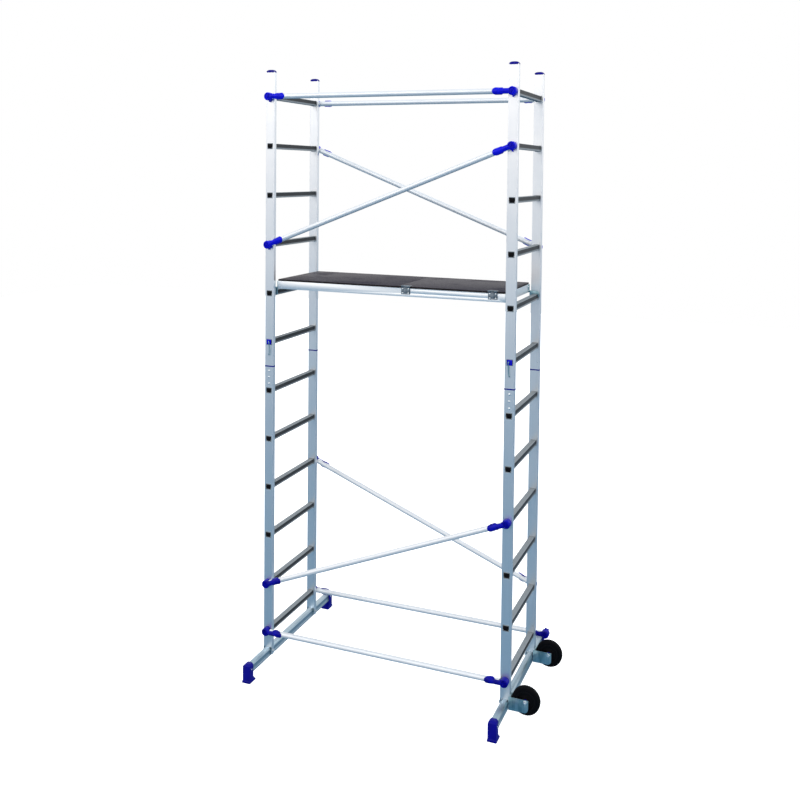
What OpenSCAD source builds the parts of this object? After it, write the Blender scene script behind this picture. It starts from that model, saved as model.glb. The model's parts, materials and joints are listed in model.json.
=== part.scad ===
// Narrow two-section aluminium work tower: two ladder frames, eight clip-on braces,
// a trapdoor platform, base crossbars with plastic feet and one pair of wheels.

/* [Frames] */
// Distance between the centre planes of the two ladder frames
frame_span = 1420; // [1150:10:1750]
// Depth of a ladder frame over its stiles
frame_depth = 565; // [460:5:700]
// Spacing of the rungs
rung_pitch = 280; // [230:5:340]
// Height of the lowest rung's centre above the floor
first_rung_z = 196; // [180:1:240]
// Height of the stiles above the top rung's centre
stile_overrun = 140; // [100:5:200]
// Width of a stile along the platform direction
stile_w = 55; // [50:1:66]
// Depth of a stile across the frame
stile_d = 25; // [24:1:32]
// Wall of a stile
stile_wall = 2; // [1.5:0.1:3]
// Side of the square rung tube
rung_w = 30; // [26:1:36]
// Wall of the rung tube
rung_wall = 1.8; // [1.5:0.1:2.5]
// Overhang of the flared rung end around its hole
rung_lip = 2; // [1:0.5:3]
// Thickness of the flared rung end
rung_lip_t = 1.2; // [0.8:0.1:1.5]

/* [Section joint] */
// Length of the spigot inside each stile at the joint
spigot_reach = 110; // [90:5:120]
// Wall of the spigot
spigot_wall = 2.5; // [2:0.1:3]
// Height of the lock pin hole above the joint
pin_hole_rise = 66; // [50:1:80]
// Diameter of the lock pin wire
pin_wire_d = 5; // [4:0.5:6]
// Thickness of the joint gasket
gasket_t = 3; // [2:0.5:5]
// Spacing of the spigot rivets
rivet_pitch = 37; // [30:1:40]
// Diameter of a spigot rivet shank
rivet_d = 5; // [4:0.5:6]

/* [Base] */
// Height of the crossbar's underside above the floor
bar_z = 50; // [40:1:60]
// Height of the crossbar section
bar_h = 46; // [40:1:56]
// Width of the crossbar section
bar_w = 38; // [34:1:42]
// Wall of the crossbar
bar_wall = 2.5; // [2:0.1:3]
// Overall length of a crossbar
bar_len = 1032; // [880:4:1240]
// Wall of a plastic foot around the crossbar
foot_wall = 4; // [3:0.5:6]
// Length of a foot along the crossbar
foot_len = 38; // [32:1:50]
// Plastic of a foot above the crossbar
foot_crown = 8; // [6:1:14]
// Diameter of the saddle bolts
saddle_bolt_d = 8; // [6:1:10]
// Height of the saddle bolts above the floor
saddle_bolt_z = 73; // [68:1:76]

/* [Wheels] */
// Diameter of a wheel
wheel_d = 150; // [125:1:151]
// Width of a tyre
tyre_w = 36; // [28:1:42]
// Diameter of the hub inside the tyre
hub_d = 104; // [80:1:110]
// Distance of the axle from the frame's centre plane
axle_out = 110; // [108:1:130]
// Height of the axle above the floor
axle_z = 107; // [100:1:110]
// Diameter of the axle bolt
axle_d = 12; // [8:1:14]
// Thickness of the bracket plates
plate_t = 4; // [3:0.5:5]

/* [Braces] */
// Outside diameter of a brace tube
brace_d = 30; // [26:1:34]
// Wall of a brace tube
brace_wall = 1.5; // [1.2:0.1:2.5]
// Diameter of a clip's round head
clip_head_d = 46; // [42:1:50]
// Distance from the rung axis to the end of the clip's half shell
clip_len = 106; // [90:2:130]
// Depth of the clip's plug inside the rung
clip_plug = 28; // [20:1:36]
// Extra length of the bottom rear brace past the right frame
rear_brace_extra = 76; // [60:1:100]

/* [Platform] */
// Width of the platform across the tower
platform_w = 500; // [420:5:600]
// Gap from the frame's centre plane to the platform's end
platform_gap = 37; // [32:1:44]
// Height of the platform rails
rail_h = 45; // [40:1:60]
// Width of the platform rails
rail_w = 25; // [20:1:30]
// Thickness of the deck board
deck_t = 10; // [9:1:15]
// Height of the rails above the rung they hang on
rail_rise = 10; // [8:1:14]
// Length of the trapdoor
hatch_len = 590; // [500:5:620]
// Distance from the platform's right end to the trapdoor
hatch_end = 18; // [14:1:20]
// Width of a hinge
hinge_w = 50; // [40:1:60]

/* [Fits] */
// Gap around a piece that slides in another, such as a clip's plug in its rung
slide_gap = 0.3; // [0.2:0.05:0.5]
// Gap around a piece fixed inside another
seat_gap = 0.1; // [0.05:0.01:0.2]
// Radial gap of a shaft in its bush
running_gap = 0.06; // [0.02:0.01:0.1]

/* [Hidden] */
$fn = 48;

left = -1;
right = 1;
front = -1;
rear = 1;
sides = [front, rear];
ends = [left, right];

// Rungs, counted from the floor
section_rungs = 6;
rungs = 2 * section_rungs;
top_rung = rungs - 1;
platform_rung = section_rungs + 1;
pin_rung = section_rungs;
diagonal_low = 1;
diagonal_high = 3;
function rung_z(i) = first_rung_z + i * rung_pitch;

joint_z = rung_z(section_rungs - 0.5);
stile_top = rung_z(top_rung) + stile_overrun;
stile_y = frame_depth / 2 - stile_d / 2;
stile_r = 3;
groove_w = 1.2;
groove_in = 7;
rung_bore = rung_w - 2 * rung_wall;
rung_lip_w = rung_w + 2 * rung_lip;
rib_w = 3;
rib_depth = 0.7;
rib_pitch = 8;
pin_z = joint_z + pin_hole_rise;
gasket_lip_h = 6.8;
gasket_lip_t = 1.3;

// Base: the saddle bolts pass through the crossbar and the stile's lower lugs
bar_top = bar_z + bar_h;
bar_bevel = 8;
bar_recess = 2.5;
bar_lip_h = 9;
lug_t = 3;
lug_end = saddle_bolt_z - 19;
lug_chamfer = 6;
bolt_head_h = 5;
nut_h = 7;
saddle_head_d = 2 * saddle_bolt_d;
foot_end = bar_len / 2 + foot_wall;
foot_w = bar_w + 2 * foot_wall;
pad_w = foot_w + 4;
pad_out = 4;
pad_in = 22;
pad_h = 10;
pad_slope = 18;
pad_neck = 5;
foot_bevel = 10;
foot_h = bar_top + foot_crown;
foot_y = foot_end - foot_len / 2;
screw_d = 4;
screw_head_d = 9;
screw_head_h = 1.6;
screw_z = bar_z + bar_h / 2;

// Wheels stand beside the right frame, in brackets whose outer plates pass the stiles' faces
plate_gap = tyre_w + 8;
plate_clear = 4.5;
wheel_y = frame_depth / 2 + plate_clear - plate_gap / 2;
plate_tail = stile_w / 2 - 6.5;
plate_over = 17;
plate_low = bar_z;
plate_high = axle_z + 12;
plate_corner = 24;
web_t = 4;
hub_w = tyre_w + 2;
bush_flange_t = (plate_gap - hub_w) / 2 - 0.5;
bush_d = axle_d + 10;
bush_flange_d = axle_d + 16;
axle_head_d = 19;
tread_w = 2.5;
tread_depth = 1.5;
hub_web = 14;
hub_ring_d = hub_d - 14;
hub_boss_d = 40;

// Braces stand just outside the stiles
brace_off = brace_d / 2 + 2;
brace_end = clip_head_d / 2 + 2;
clip_base = rung_lip_t + 0.8;
clip_skin = 4;
clip_top = brace_off + brace_d / 2 + clip_skin;
clip_neck_w = 26;
clip_shell_from = 50;
clip_tab_w = 10;
clip_tab_out = 5;
clip_back = 3;
free_swing = 0.15;

// Each brace is [side, left rung, right rung, length past the right frame, outward swing in degrees]
front_top = [front, top_rung, top_rung, 0, 0];
front_upper = [front, top_rung - diagonal_high, top_rung - diagonal_low, 0, 0];
front_lower = [front, diagonal_low, diagonal_high, 0, 0];
front_bottom = [front, 0, 0, 0, 0];
rear_top = [rear, top_rung, top_rung, 0, 0];
rear_upper = [rear, top_rung - diagonal_low, top_rung - diagonal_high, 0, 0];
rear_lower = [rear, diagonal_high, diagonal_low, 0, 0];
rear_bottom = [rear, 0, 0, rear_brace_extra, free_swing];

function brace_run(b) = frame_span + b[3];
function brace_rise(b) = (b[2] - b[1]) * rung_pitch;
function brace_length(b) = sqrt(pow(brace_run(b), 2) + pow(brace_rise(b), 2));
function brace_tilt(b) = atan2(brace_rise(b), brace_run(b));

// Lock pins: a flanged plug in the rung's end and a bent wire
pin_flange_w = rung_bore + 2;
pin_flange_t = 3;
pin_plug_len = 18;
pin_face = rung_lip_t + slide_gap + pin_flange_t;
pin_stand = pin_face + pin_wire_d;
pin_foot_in = stile_wall + spigot_wall + 2.5;

// Platform
seat_z = rung_z(platform_rung) + rung_w / 2;
rail_z = seat_z + rail_rise;
deck_z = rail_z + rail_h;
deck_top = deck_z + deck_t;
platform_half = frame_span / 2 - platform_gap;
hook_y = platform_w / 2 - 5;
hook_t = 6;
hook_leg = 17;
hook_tip = 7;
hook_crown = 16;
hook_drop = 9;
hook_bevel = 4;
hook_rivet_in = 8;
hook_flange_t = 4;
hook_flange_w = 26;
hatch_gap = 2;
hatch_rear_strip = 22;
hatch_right = platform_half - hatch_end;
hatch_left = hatch_right - hatch_len;
hatch_lift = 0.5;
knuckle_r = 4.5;
hinge_pin_r = 2.5;
hinge_out = knuckle_r;
hinge_up = 1.5;
hinge_plate_t = 3;
hinge_leaf_t = 2.5;
hinge_leaf_d = 30;
hinge_plate_h = 44;
hinge_rivet_drops = [15, 38];
hinge_mid = hinge_w / 3;
hinge_inset = 50;
hinge_x = [hatch_left + hinge_inset, hatch_right - hinge_inset];
rivet_head_d = 9;
spigot_head_d = 12;
rivet_head_h = 2;

// The model's origin is under the middle of its box, and only the right frame has wheels
reach_right = frame_span / 2 + axle_out + wheel_d / 2;
reach_left = frame_span / 2 + stile_w / 2 + bolt_head_h;
mid_x = (reach_left - reach_right) / 2;
function frame_x(end) = mid_x + end * frame_span / 2;

METAL = [0.78, 0.82, 0.86];
RUNG = [0.66, 0.69, 0.7];
ZINC = [0.5, 0.6, 0.62];
BLUE = [0.06, 0.05, 0.65];
NAVY = [0.04, 0.04, 0.32];
BLACK = [0.03, 0.03, 0.04];
DECK = [0.24, 0.22, 0.26];

// ---- shared shapes

// Places children on the front of the tower, with -Y outwards, or mirrors them to the rear
module on_side(side) {
  mirror([0, side == rear ? 1 : 0, 0]) children();
}

module rounded_rect(w, d, r) {
  square([w - 2 * r, d], center = true);
  square([w, d - 2 * r], center = true);
  for (x = [-1, 1], y = [-1, 1])
    translate([x * (w / 2 - r), y * (d / 2 - r)]) circle(r);
}

// A rod along Y, from y = 0 towards -Y
module rod_out(d, length) {
  rotate([90, 0, 0]) cylinder(d = d, h = length);
}

// A rod along X, centred on its place
module rod_across(d, length) {
  rotate([0, 90, 0]) cylinder(d = d, h = length, center = true);
}

// A square bar along Y, centred on its place
module square_bar(w, length) {
  cube([w, length, w], center = true);
}

// ---- ladder frames

module stile_section() {
  difference() {
    rounded_rect(stile_w, stile_d, stile_r);
    square([stile_w - 2 * stile_wall, stile_d - 2 * stile_wall], center = true);
    for (x = [-1, 1], y = [-1, 1])
      translate([x * (stile_w / 2 - groove_in), y * stile_d / 2]) square([groove_w, 1], center = true);
  }
}

module rung_holes(from, to) {
  for (i = [from : to])
    translate([0, 0, rung_z(i)]) square_bar(rung_w, 2 * stile_d);
}

module lower_stile(side) {
  on_side(side) translate([0, -stile_y, 0]) difference() {
    union() {
      translate([0, 0, bar_top]) linear_extrude(joint_z - gasket_t / 2 - bar_top) stile_section();
      saddle_lugs();
    }
    rung_holes(0, section_rungs - 1);
    translate([0, 0, saddle_bolt_z]) rod_across(saddle_bolt_d, 2 * stile_w);
    spigot_rivet_places() rod_out(rivet_d, stile_d);
  }
}

// Two lugs that carry the stile's side walls down past the crossbar
module saddle_lugs() {
  for (x = [-1, 1])
    translate([x * (stile_w - lug_t) / 2, 0, 0]) rotate([90, 0, 90])
      linear_extrude(lug_t, center = true) polygon([
        [-stile_d / 2 + lug_chamfer, lug_end],
        [stile_d / 2 - lug_chamfer, lug_end],
        [stile_d / 2, lug_end + lug_chamfer],
        [stile_d / 2, bar_top + lug_chamfer],
        [-stile_d / 2, bar_top + lug_chamfer],
        [-stile_d / 2, lug_end + lug_chamfer]
      ]);
}

module upper_stile(side) {
  on_side(side) translate([0, -stile_y, 0]) difference() {
    translate([0, 0, joint_z + gasket_t / 2])
      linear_extrude(stile_top - joint_z - gasket_t / 2) stile_section();
    rung_holes(section_rungs, top_rung);
    translate([0, 0, pin_z]) rod_out(pin_wire_d + 2, stile_d);
  }
}

module lower_stiles(end) {
  color(METAL) translate([frame_x(end), 0, 0]) for (side = sides) lower_stile(side);
}

module upper_stiles(end) {
  color(METAL) translate([frame_x(end), 0, 0]) for (side = sides) upper_stile(side);
}

module left_lower_stiles() { lower_stiles(left); }
module left_upper_stiles() { upper_stiles(left); }
module right_lower_stiles() { lower_stiles(right); }
module right_upper_stiles() { upper_stiles(right); }

// Square tube, ribbed above and below, its ends flared over the stiles' outer faces
module rung() {
  difference() {
    union() {
      square_bar(rung_w, frame_depth + 2 * rung_lip_t);
      for (side = sides)
        translate([0, side * (frame_depth + rung_lip_t) / 2, 0])
          cube([rung_lip_w, rung_lip_t, rung_lip_w], center = true);
      for (side = sides)
        translate([0, side * (frame_depth / 2 - stile_d - rung_lip_t / 2), 0])
          cube([rung_lip_w, rung_lip_t, rung_lip_w], center = true);
    }
    square_bar(rung_bore, 2 * frame_depth);
    for (x = [-1, 0, 1], z = [-1, 1])
      translate([x * rib_pitch, 0, z * rung_w / 2])
        cube([rib_w, frame_depth - 2 * stile_d - 4 * rung_lip_t, 2 * rib_depth], center = true);
  }
}

module rungs_of(end) {
  color(RUNG) translate([frame_x(end), 0, 0])
    for (i = [0 : top_rung]) translate([0, 0, rung_z(i)]) rung();
}

module left_rungs() { rungs_of(left); }
module right_rungs() { rungs_of(right); }

// ---- section joint

module joint_spigots() {
  spigot_w = stile_w - 2 * stile_wall - 2 * seat_gap;
  spigot_d = stile_d - 2 * stile_wall - 2 * seat_gap;
  color(METAL) for (end = ends, side = sides)
    translate([frame_x(end), 0, 0]) on_side(side) translate([0, -stile_y, 0]) difference() {
      translate([0, 0, joint_z - spigot_reach]) linear_extrude(2 * spigot_reach) difference() {
        square([spigot_w, spigot_d], center = true);
        square([spigot_w - 2 * spigot_wall, spigot_d - 2 * spigot_wall], center = true);
      }
      translate([0, 0, pin_z]) rod_out(pin_wire_d + 1, stile_d);
      spigot_rivet_places() rod_out(rivet_d, stile_d);
    }
}

module spigot_rivet_places() {
  for (i = [0 : 2])
    translate([0, 0, joint_z - rivet_pitch * (i + 0.7)]) children();
}

module spigot_rivets() {
  shank = stile_wall + seat_gap + spigot_wall + 1;
  color(ZINC) for (end = ends, side = sides)
    translate([frame_x(end), 0, 0]) on_side(side) translate([0, -frame_depth / 2, 0])
      spigot_rivet_places() {
        translate([0, shank, 0]) rod_out(rivet_d, shank + 0.5);
        rod_out(spigot_head_d, 1);
      }
}

// A flat ring between the stiles, with a lip around the outside of both
module joint_gaskets() {
  grow = seat_gap + gasket_lip_t;
  color(NAVY) for (end = ends, side = sides)
    translate([frame_x(end), side * stile_y, joint_z]) difference() {
      linear_extrude(gasket_lip_h, center = true)
        rounded_rect(stile_w + 2 * grow, stile_d + 2 * grow, stile_r + grow);
      linear_extrude(2 * gasket_lip_h, center = true)
        square([stile_w - 2 * stile_wall, stile_d - 2 * stile_wall], center = true);
      for (z = [-1, 1])
        translate([0, 0, z * (gasket_lip_h + gasket_t) / 2])
          linear_extrude(gasket_lip_h, center = true)
            rounded_rect(stile_w + 2 * seat_gap, stile_d + 2 * seat_gap, stile_r + seat_gap);
    }
}

module stile_caps() {
  cap_h = 9;
  crown_h = 4;
  crown_in = 4;
  plug_h = 18;
  color(NAVY) for (end = ends, side = sides)
    translate([frame_x(end), side * stile_y, stile_top]) {
      linear_extrude(cap_h) rounded_rect(stile_w + 1, stile_d + 1, stile_r);
      translate([0, 0, cap_h])
        linear_extrude(crown_h) rounded_rect(stile_w - 2 * crown_in, stile_d - 2 * crown_in, stile_r);
      translate([0, 0, -plug_h]) linear_extrude(plug_h)
        square([stile_w - 2 * stile_wall - 2 * seat_gap, stile_d - 2 * stile_wall - 2 * seat_gap],
               center = true);
    }
}

// Rungs whose ends a clip or a lock pin takes, at each end and side of the tower
function taken(end, side) = [
  0, pin_rung, top_rung,
  end * side < 0 ? top_rung - diagonal_low : top_rung - diagonal_high,
  end * side < 0 ? diagonal_high : diagonal_low
];

function is_free(i, end, side) = len([for (t = taken(end, side)) if (t == i) t]) == 0;

module rung_end_plugs() {
  plug_len = 14;
  plug_w = rung_bore - 2 * seat_gap;
  color(BLACK) for (end = ends, side = sides, i = [0 : top_rung])
    if (is_free(i, end, side) || (i == 0 && end == right && side == rear))
      translate([frame_x(end), 0, rung_z(i)]) on_side(side)
        translate([0, -frame_depth / 2 - rung_lip_t - 0.4 + plug_len / 2, 0])
          square_bar(plug_w, plug_len);
}

// ---- base

// Crossbar outline in its own X and Z, with bevelled top corners and recessed sides
function bar_outline(grow) = let (
  half = bar_w / 2 + grow,
  low = -grow,
  high = bar_h + grow,
  dent = half - bar_recess,
  dent_low = bar_lip_h,
  dent_high = bar_h - bar_bevel - bar_recess
) [
  [-half, low], [half, low], [half, dent_low], [dent, dent_low + bar_recess],
  [dent, dent_high - bar_recess], [half, dent_high], [half, high - bar_bevel],
  [half - bar_bevel, high], [bar_bevel - half, high], [-half, high - bar_bevel],
  [-half, dent_high], [-dent, dent_high - bar_recess], [-dent, dent_low + bar_recess],
  [-half, dent_low]
];

// Extrudes an outline of the crossbar's X and Z along Y
module along_bar(length) {
  translate([0, length / 2, bar_z]) rotate([90, 0, 0]) linear_extrude(length) children();
}

module base_crossbars() {
  hollow_w = bar_w - 2 * bar_recess - 2 * bar_wall;
  hollow_h = bar_h - bar_bevel - bar_wall;
  color(METAL) for (end = ends)
    translate([frame_x(end), 0, 0]) difference() {
      along_bar(bar_len) polygon(bar_outline(0));
      along_bar(bar_len + 2) translate([-hollow_w / 2, bar_wall]) square([hollow_w, hollow_h]);
      for (side = sides) {
        translate([0, side * stile_y, saddle_bolt_z]) rod_across(saddle_bolt_d, 2 * bar_w);
        translate([0, side * foot_y, screw_z]) rod_across(screw_d, 2 * bar_w);
      }
    }
}

// Side outline of a foot in Y and Z, with its outer face towards -Y
function foot_outline() = let (
  outer = -foot_end,
  inner = -foot_end + foot_len
) [
  [outer - pad_out, 0], [inner + pad_in, 0], [inner + pad_in, pad_h - pad_out],
  [inner + pad_in / 2, pad_h + pad_neck], [inner, pad_h + pad_slope], [inner, foot_h],
  [outer + foot_bevel, foot_h], [outer, foot_h - foot_bevel], [outer, pad_h + pad_neck],
  [outer - pad_out, pad_h]
];

module foot() {
  difference() {
    intersection() {
      rotate([90, 0, 90]) linear_extrude(pad_w, center = true) polygon(foot_outline());
      translate([0, -foot_end + 2 * foot_len, 0]) rotate([90, 0, 0])
        linear_extrude(4 * foot_len) polygon([
          [-pad_w / 2, 0], [pad_w / 2, 0], [pad_w / 2, pad_h], [foot_w / 2, pad_h + pad_neck],
          [foot_w / 2, foot_h - foot_bevel], [foot_w / 2 - foot_bevel, foot_h],
          [foot_bevel - foot_w / 2, foot_h], [-foot_w / 2, foot_h - foot_bevel],
          [-foot_w / 2, pad_h + pad_neck], [-pad_w / 2, pad_h]
        ]);
    }
    along_bar(bar_len + 2 * seat_gap) polygon(bar_outline(seat_gap));
    translate([0, -foot_y, screw_z]) rod_across(screw_d, 2 * pad_w);
  }
}

module feet() {
  color(NAVY) for (end = ends, side = sides)
    translate([frame_x(end), 0, 0]) on_side(side) foot();
}

module foot_screws() {
  shank = foot_wall + bar_recess + bar_wall + 2;
  color(ZINC) for (end = ends, side = sides, face = [-1, 1])
    translate([frame_x(end) + face * foot_w / 2, side * foot_y, screw_z]) {
      translate([-face * shank / 2, 0, 0]) rod_across(screw_d, shank);
      translate([face * screw_head_h / 2, 0, 0]) rod_across(screw_head_d, screw_head_h);
    }
}

// Places children in a frame whose +X points out of the tower
module on_end(end) {
  translate([frame_x(end), 0, 0]) mirror([end == left ? 1 : 0, 0, 0]) children();
}

// Outer face that a saddle bolt's head rests on: the stile, or the wheel bracket's web
function saddle_face(end) = stile_w / 2 + (end == right ? web_t : 0);

module hex_rod(d, length) {
  rotate([0, 90, 0]) cylinder(d = d, h = length, $fn = 6);
}

module saddle_bolts() {
  color(ZINC) for (end = ends, side = sides)
    on_end(end) translate([0, side * stile_y, saddle_bolt_z]) {
      shank_from = -stile_w / 2 - nut_h - 1;
      translate([shank_from, 0, 0]) rotate([0, 90, 0])
        cylinder(d = saddle_bolt_d, h = saddle_face(end) - shank_from);
      translate([saddle_face(end), 0, 0]) hex_rod(saddle_head_d, bolt_head_h);
    }
}

module saddle_spacers() {
  inner = bar_w / 2 - bar_recess;
  length = stile_w / 2 - lug_t - inner;
  color(ZINC) for (end = ends, side = sides, face = [-1, 1])
    translate([frame_x(end) + face * (inner + length / 2), side * stile_y, saddle_bolt_z])
      difference() {
        rod_across(saddle_head_d, length);
        rod_across(saddle_bolt_d, 2 * length);
      }
}

module lock_nuts() {
  color(ZINC) {
    for (end = ends, side = sides)
      on_end(end) translate([-stile_w / 2 - nut_h, side * stile_y, saddle_bolt_z]) difference() {
        hex_rod(saddle_head_d, nut_h);
        rod_across(saddle_bolt_d, 4 * nut_h);
      }
    for (side = sides)
      at_wheel(side) translate([0, plate_gap / 2 + plate_t, 0]) rotate([-90, 0, 0]) difference() {
        cylinder(d = axle_head_d, h = nut_h, $fn = 6);
        translate([0, 0, -1]) cylinder(d = axle_d, h = nut_h + 2);
      }
  }
}

// ---- wheels

// Places children at a wheel's centre, with -Y towards the outside of the tower
module at_wheel(side) {
  translate([frame_x(right) + axle_out, 0, axle_z]) on_side(side)
    translate([0, -wheel_y, 0]) children();
}

module bracket_plate_outline() {
  long = axle_out + plate_over - plate_tail;
  high = plate_high - plate_low;
  translate([plate_tail - axle_out, plate_low - axle_z]) {
    square([long - plate_corner, high]);
    translate([0, plate_corner]) square([long, high - plate_corner]);
    translate([long - plate_corner, plate_corner]) circle(plate_corner);
  }
}

module wheel_bracket() {
  difference() {
    union() {
      for (face = [-1, 1])
        translate([0, face * (plate_gap + plate_t) / 2, 0]) rotate([90, 0, 0])
          linear_extrude(plate_t, center = true) bracket_plate_outline();
      translate([stile_w / 2 - axle_out, -plate_gap / 2 - 1, plate_low - axle_z])
        cube([web_t, plate_gap + 2, plate_high - plate_low]);
    }
    rotate([90, 0, 0]) cylinder(d = axle_d, h = 2 * plate_gap, center = true);
    translate([stile_w / 2 - axle_out, wheel_y - stile_y, saddle_bolt_z - axle_z])
      rod_across(saddle_bolt_d, 4 * web_t);
  }
}

module wheel_brackets() {
  color(ZINC) for (side = sides) at_wheel(side) wheel_bracket();
}

module axle_bolts() {
  dome = 1.5;
  head = 4;
  color(ZINC) for (side = sides)
    at_wheel(side) translate([0, -plate_gap / 2 - plate_t, 0]) {
      rod_out(axle_head_d, head);
      translate([0, -head, 0]) rotate([90, 0, 0])
        cylinder(d1 = axle_head_d, d2 = axle_head_d - 4 * dome, h = dome);
      translate([0, plate_gap + 2 * plate_t + nut_h + 1, 0])
        rod_out(axle_d, plate_gap + 2 * plate_t + nut_h + 1);
    }
}

// Turns a half outline of a wheel piece about the axle
module turned() {
  rotate([90, 0, 0]) rotate_extrude($fn = 96) children();
}

module tyre(side) {
  shoulder = 4;
  r = wheel_d / 2;
  color(BLACK) at_wheel(side) turned() difference() {
    polygon([
      [hub_d / 2, -tyre_w / 2], [r - shoulder, -tyre_w / 2], [r, -tyre_w / 2 + shoulder],
      [r, tyre_w / 2 - shoulder], [r - shoulder, tyre_w / 2], [hub_d / 2, tyre_w / 2]
    ]);
    for (y = [-1, 1])
      translate([r, y * tyre_w / 6]) square([2 * tread_depth, tread_w], center = true);
  }
}

module wheel_hub(side) {
  color(BLACK) at_wheel(side) turned() {
    translate([bush_d / 2, -hub_w / 2]) square([(hub_boss_d - bush_d) / 2, hub_w]);
    translate([hub_boss_d / 2, -hub_web / 2]) square([(hub_ring_d - hub_boss_d) / 2, hub_web]);
    translate([hub_ring_d / 2, -tyre_w / 2]) square([(hub_d - hub_ring_d) / 2, tyre_w]);
  }
}

module wheel_bushes(side) {
  bore_r = axle_d / 2 + running_gap;
  color(NAVY) at_wheel(side) turned() for (face = [-1, 1])
    mirror([0, face > 0 ? 1 : 0]) {
      translate([bore_r, -hub_w / 2 - bush_flange_t])
        square([bush_flange_d / 2 - bore_r, bush_flange_t]);
      translate([bore_r, -hub_w / 2]) square([bush_d / 2 - bore_r, hub_w / 2 - 1]);
    }
}

module front_tyre() { tyre(front); }
module front_wheel_hub() { wheel_hub(front); }
module front_wheel_bushes() { wheel_bushes(front); }
module rear_tyre() { tyre(rear); }
module rear_wheel_hub() { wheel_hub(rear); }
module rear_wheel_bushes() { wheel_bushes(rear); }

// ---- platform

// Hollow rail on its outline of width and height, along its own Z
module rail(length) {
  linear_extrude(length, center = true) difference() {
    square([rail_w, rail_h], center = true);
    square([rail_w - 2 * stile_wall, rail_h - 2 * stile_wall], center = true);
  }
}

module platform_side_rails() {
  color(METAL) for (side = sides)
    translate([mid_x, side * (platform_w - rail_w) / 2, rail_z + rail_h / 2]) difference() {
      rotate([90, 0, 90]) rail(2 * platform_half);
      translate([-mid_x, -side * (platform_w - rail_w) / 2, -rail_z - rail_h / 2])
        hinge_rivet_places() rod_across_y();
    }
}

// A rivet shank through a rail's outer wall, along Y
module rod_across_y() {
  rotate([90, 0, 0]) cylinder(d = rivet_d, h = 2 * stile_wall + hinge_plate_t + 2, center = true);
}

// Rails across the tower share one module, told where they stand
module cross_rail(x) {
  translate([mid_x + x, 0, rail_z + rail_h / 2]) rotate([90, 0, 0]) rail(platform_w - 2 * rail_w);
}

module platform_end_rails() {
  color(METAL) difference() {
    for (end = ends) cross_rail(end * (platform_half - rail_w / 2));
    hook_rivet_places() rod_across(rivet_d, 4 * stile_wall);
  }
}

module platform_cross_members() {
  color(METAL) for (x = [hatch_left - hatch_gap / 2, (hatch_left - platform_half) / 2]) cross_rail(x);
}

module hook_rivet_places() {
  for (end = ends, side = sides, z = [-1, 1])
    on_end(end) translate([-platform_gap, side * (platform_w / 2 - rail_w - hook_rivet_in),
                           rail_z + rail_h / 2 + z * rail_h / 4])
      children();
}

// Claw that hangs over a rung, with a flange on the platform's end
module platform_hook() {
  half_rung = rung_w / 2 + slide_gap;
  crown = seat_z + slide_gap;
  rotate([90, 0, 0]) linear_extrude(hook_t, center = true) polygon([
    [-platform_gap + hook_flange_t, rail_z],
    [-half_rung - hook_leg, rail_z],
    [-half_rung - hook_leg, seat_z - rung_w / 2 - hook_drop],
    [-half_rung - hook_leg / 2, seat_z - rung_w / 2 - hook_drop - hook_bevel],
    [-half_rung, seat_z - rung_w / 2 - hook_drop],
    [-half_rung, crown],
    [half_rung, crown],
    [half_rung, seat_z - rung_w / 2],
    [half_rung + hook_tip, seat_z - rung_w / 2],
    [half_rung + hook_tip, crown + hook_crown - 2 * hook_bevel],
    [half_rung, crown + hook_crown],
    [-half_rung - hook_leg / 2, crown + hook_crown + hook_bevel],
    [-platform_gap + hook_flange_t, crown + hook_crown + hook_bevel]
  ]);
}

module platform_hooks() {
  color(ZINC) difference() {
    for (end = ends, side = sides)
      on_end(end) on_side(side) {
        translate([0, -hook_y, 0]) platform_hook();
        translate([-platform_gap, -platform_w / 2, rail_z])
          cube([hook_flange_t, hook_flange_w, rail_h]);
      }
    hook_rivet_places() rod_across(rivet_d, 4 * stile_wall);
  }
}

module deck_panel() {
  edge = 2;
  color(DECK) difference() {
    translate([mid_x - platform_half + edge, -platform_w / 2, deck_z])
      cube([2 * (platform_half - edge), platform_w, deck_t]);
    translate([mid_x + hatch_left - hatch_gap, -platform_w, deck_z - 1])
      cube([hatch_len + 2 * hatch_gap, 1.5 * platform_w - hatch_rear_strip + hatch_gap, deck_t + 2]);
  }
}

module hatch_panel() {
  front_gap = 1;
  color(DECK)
    translate([mid_x + hatch_left, -platform_w / 2 + front_gap, deck_z + hatch_lift])
      cube([hatch_len, platform_w - hatch_rear_strip - front_gap, deck_t - hatch_lift]);
}

// Places children on the trapdoor's hinge axis, at each hinge
module at_hinges() {
  for (x = hinge_x)
    translate([mid_x + x, -platform_w / 2 - hinge_out, deck_top + hinge_up]) children();
}

module hinge_rivet_places() {
  for (x = [-1, 1], drop = hinge_rivet_drops)
    at_hinges() translate([x * hinge_w / 3, hinge_out, -drop]) children();
}

module hinge_plates() {
  color(ZINC) difference() {
    at_hinges() difference() {
      union() {
        translate([-hinge_w / 2, hinge_out - hinge_plate_t, -hinge_plate_h])
          cube([hinge_w, hinge_plate_t, hinge_plate_h]);
        rod_across(2 * knuckle_r, hinge_w);
      }
      cube([hinge_mid, 4 * knuckle_r, 2 * knuckle_r + 2], center = true);
      rod_across(2 * hinge_pin_r, 2 * hinge_w);
    }
    hinge_rivet_places() rod_across_y();
  }
}

module hinge_pins() {
  color(ZINC) at_hinges() rod_across(2 * hinge_pin_r, hinge_w + 2);
}

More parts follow.
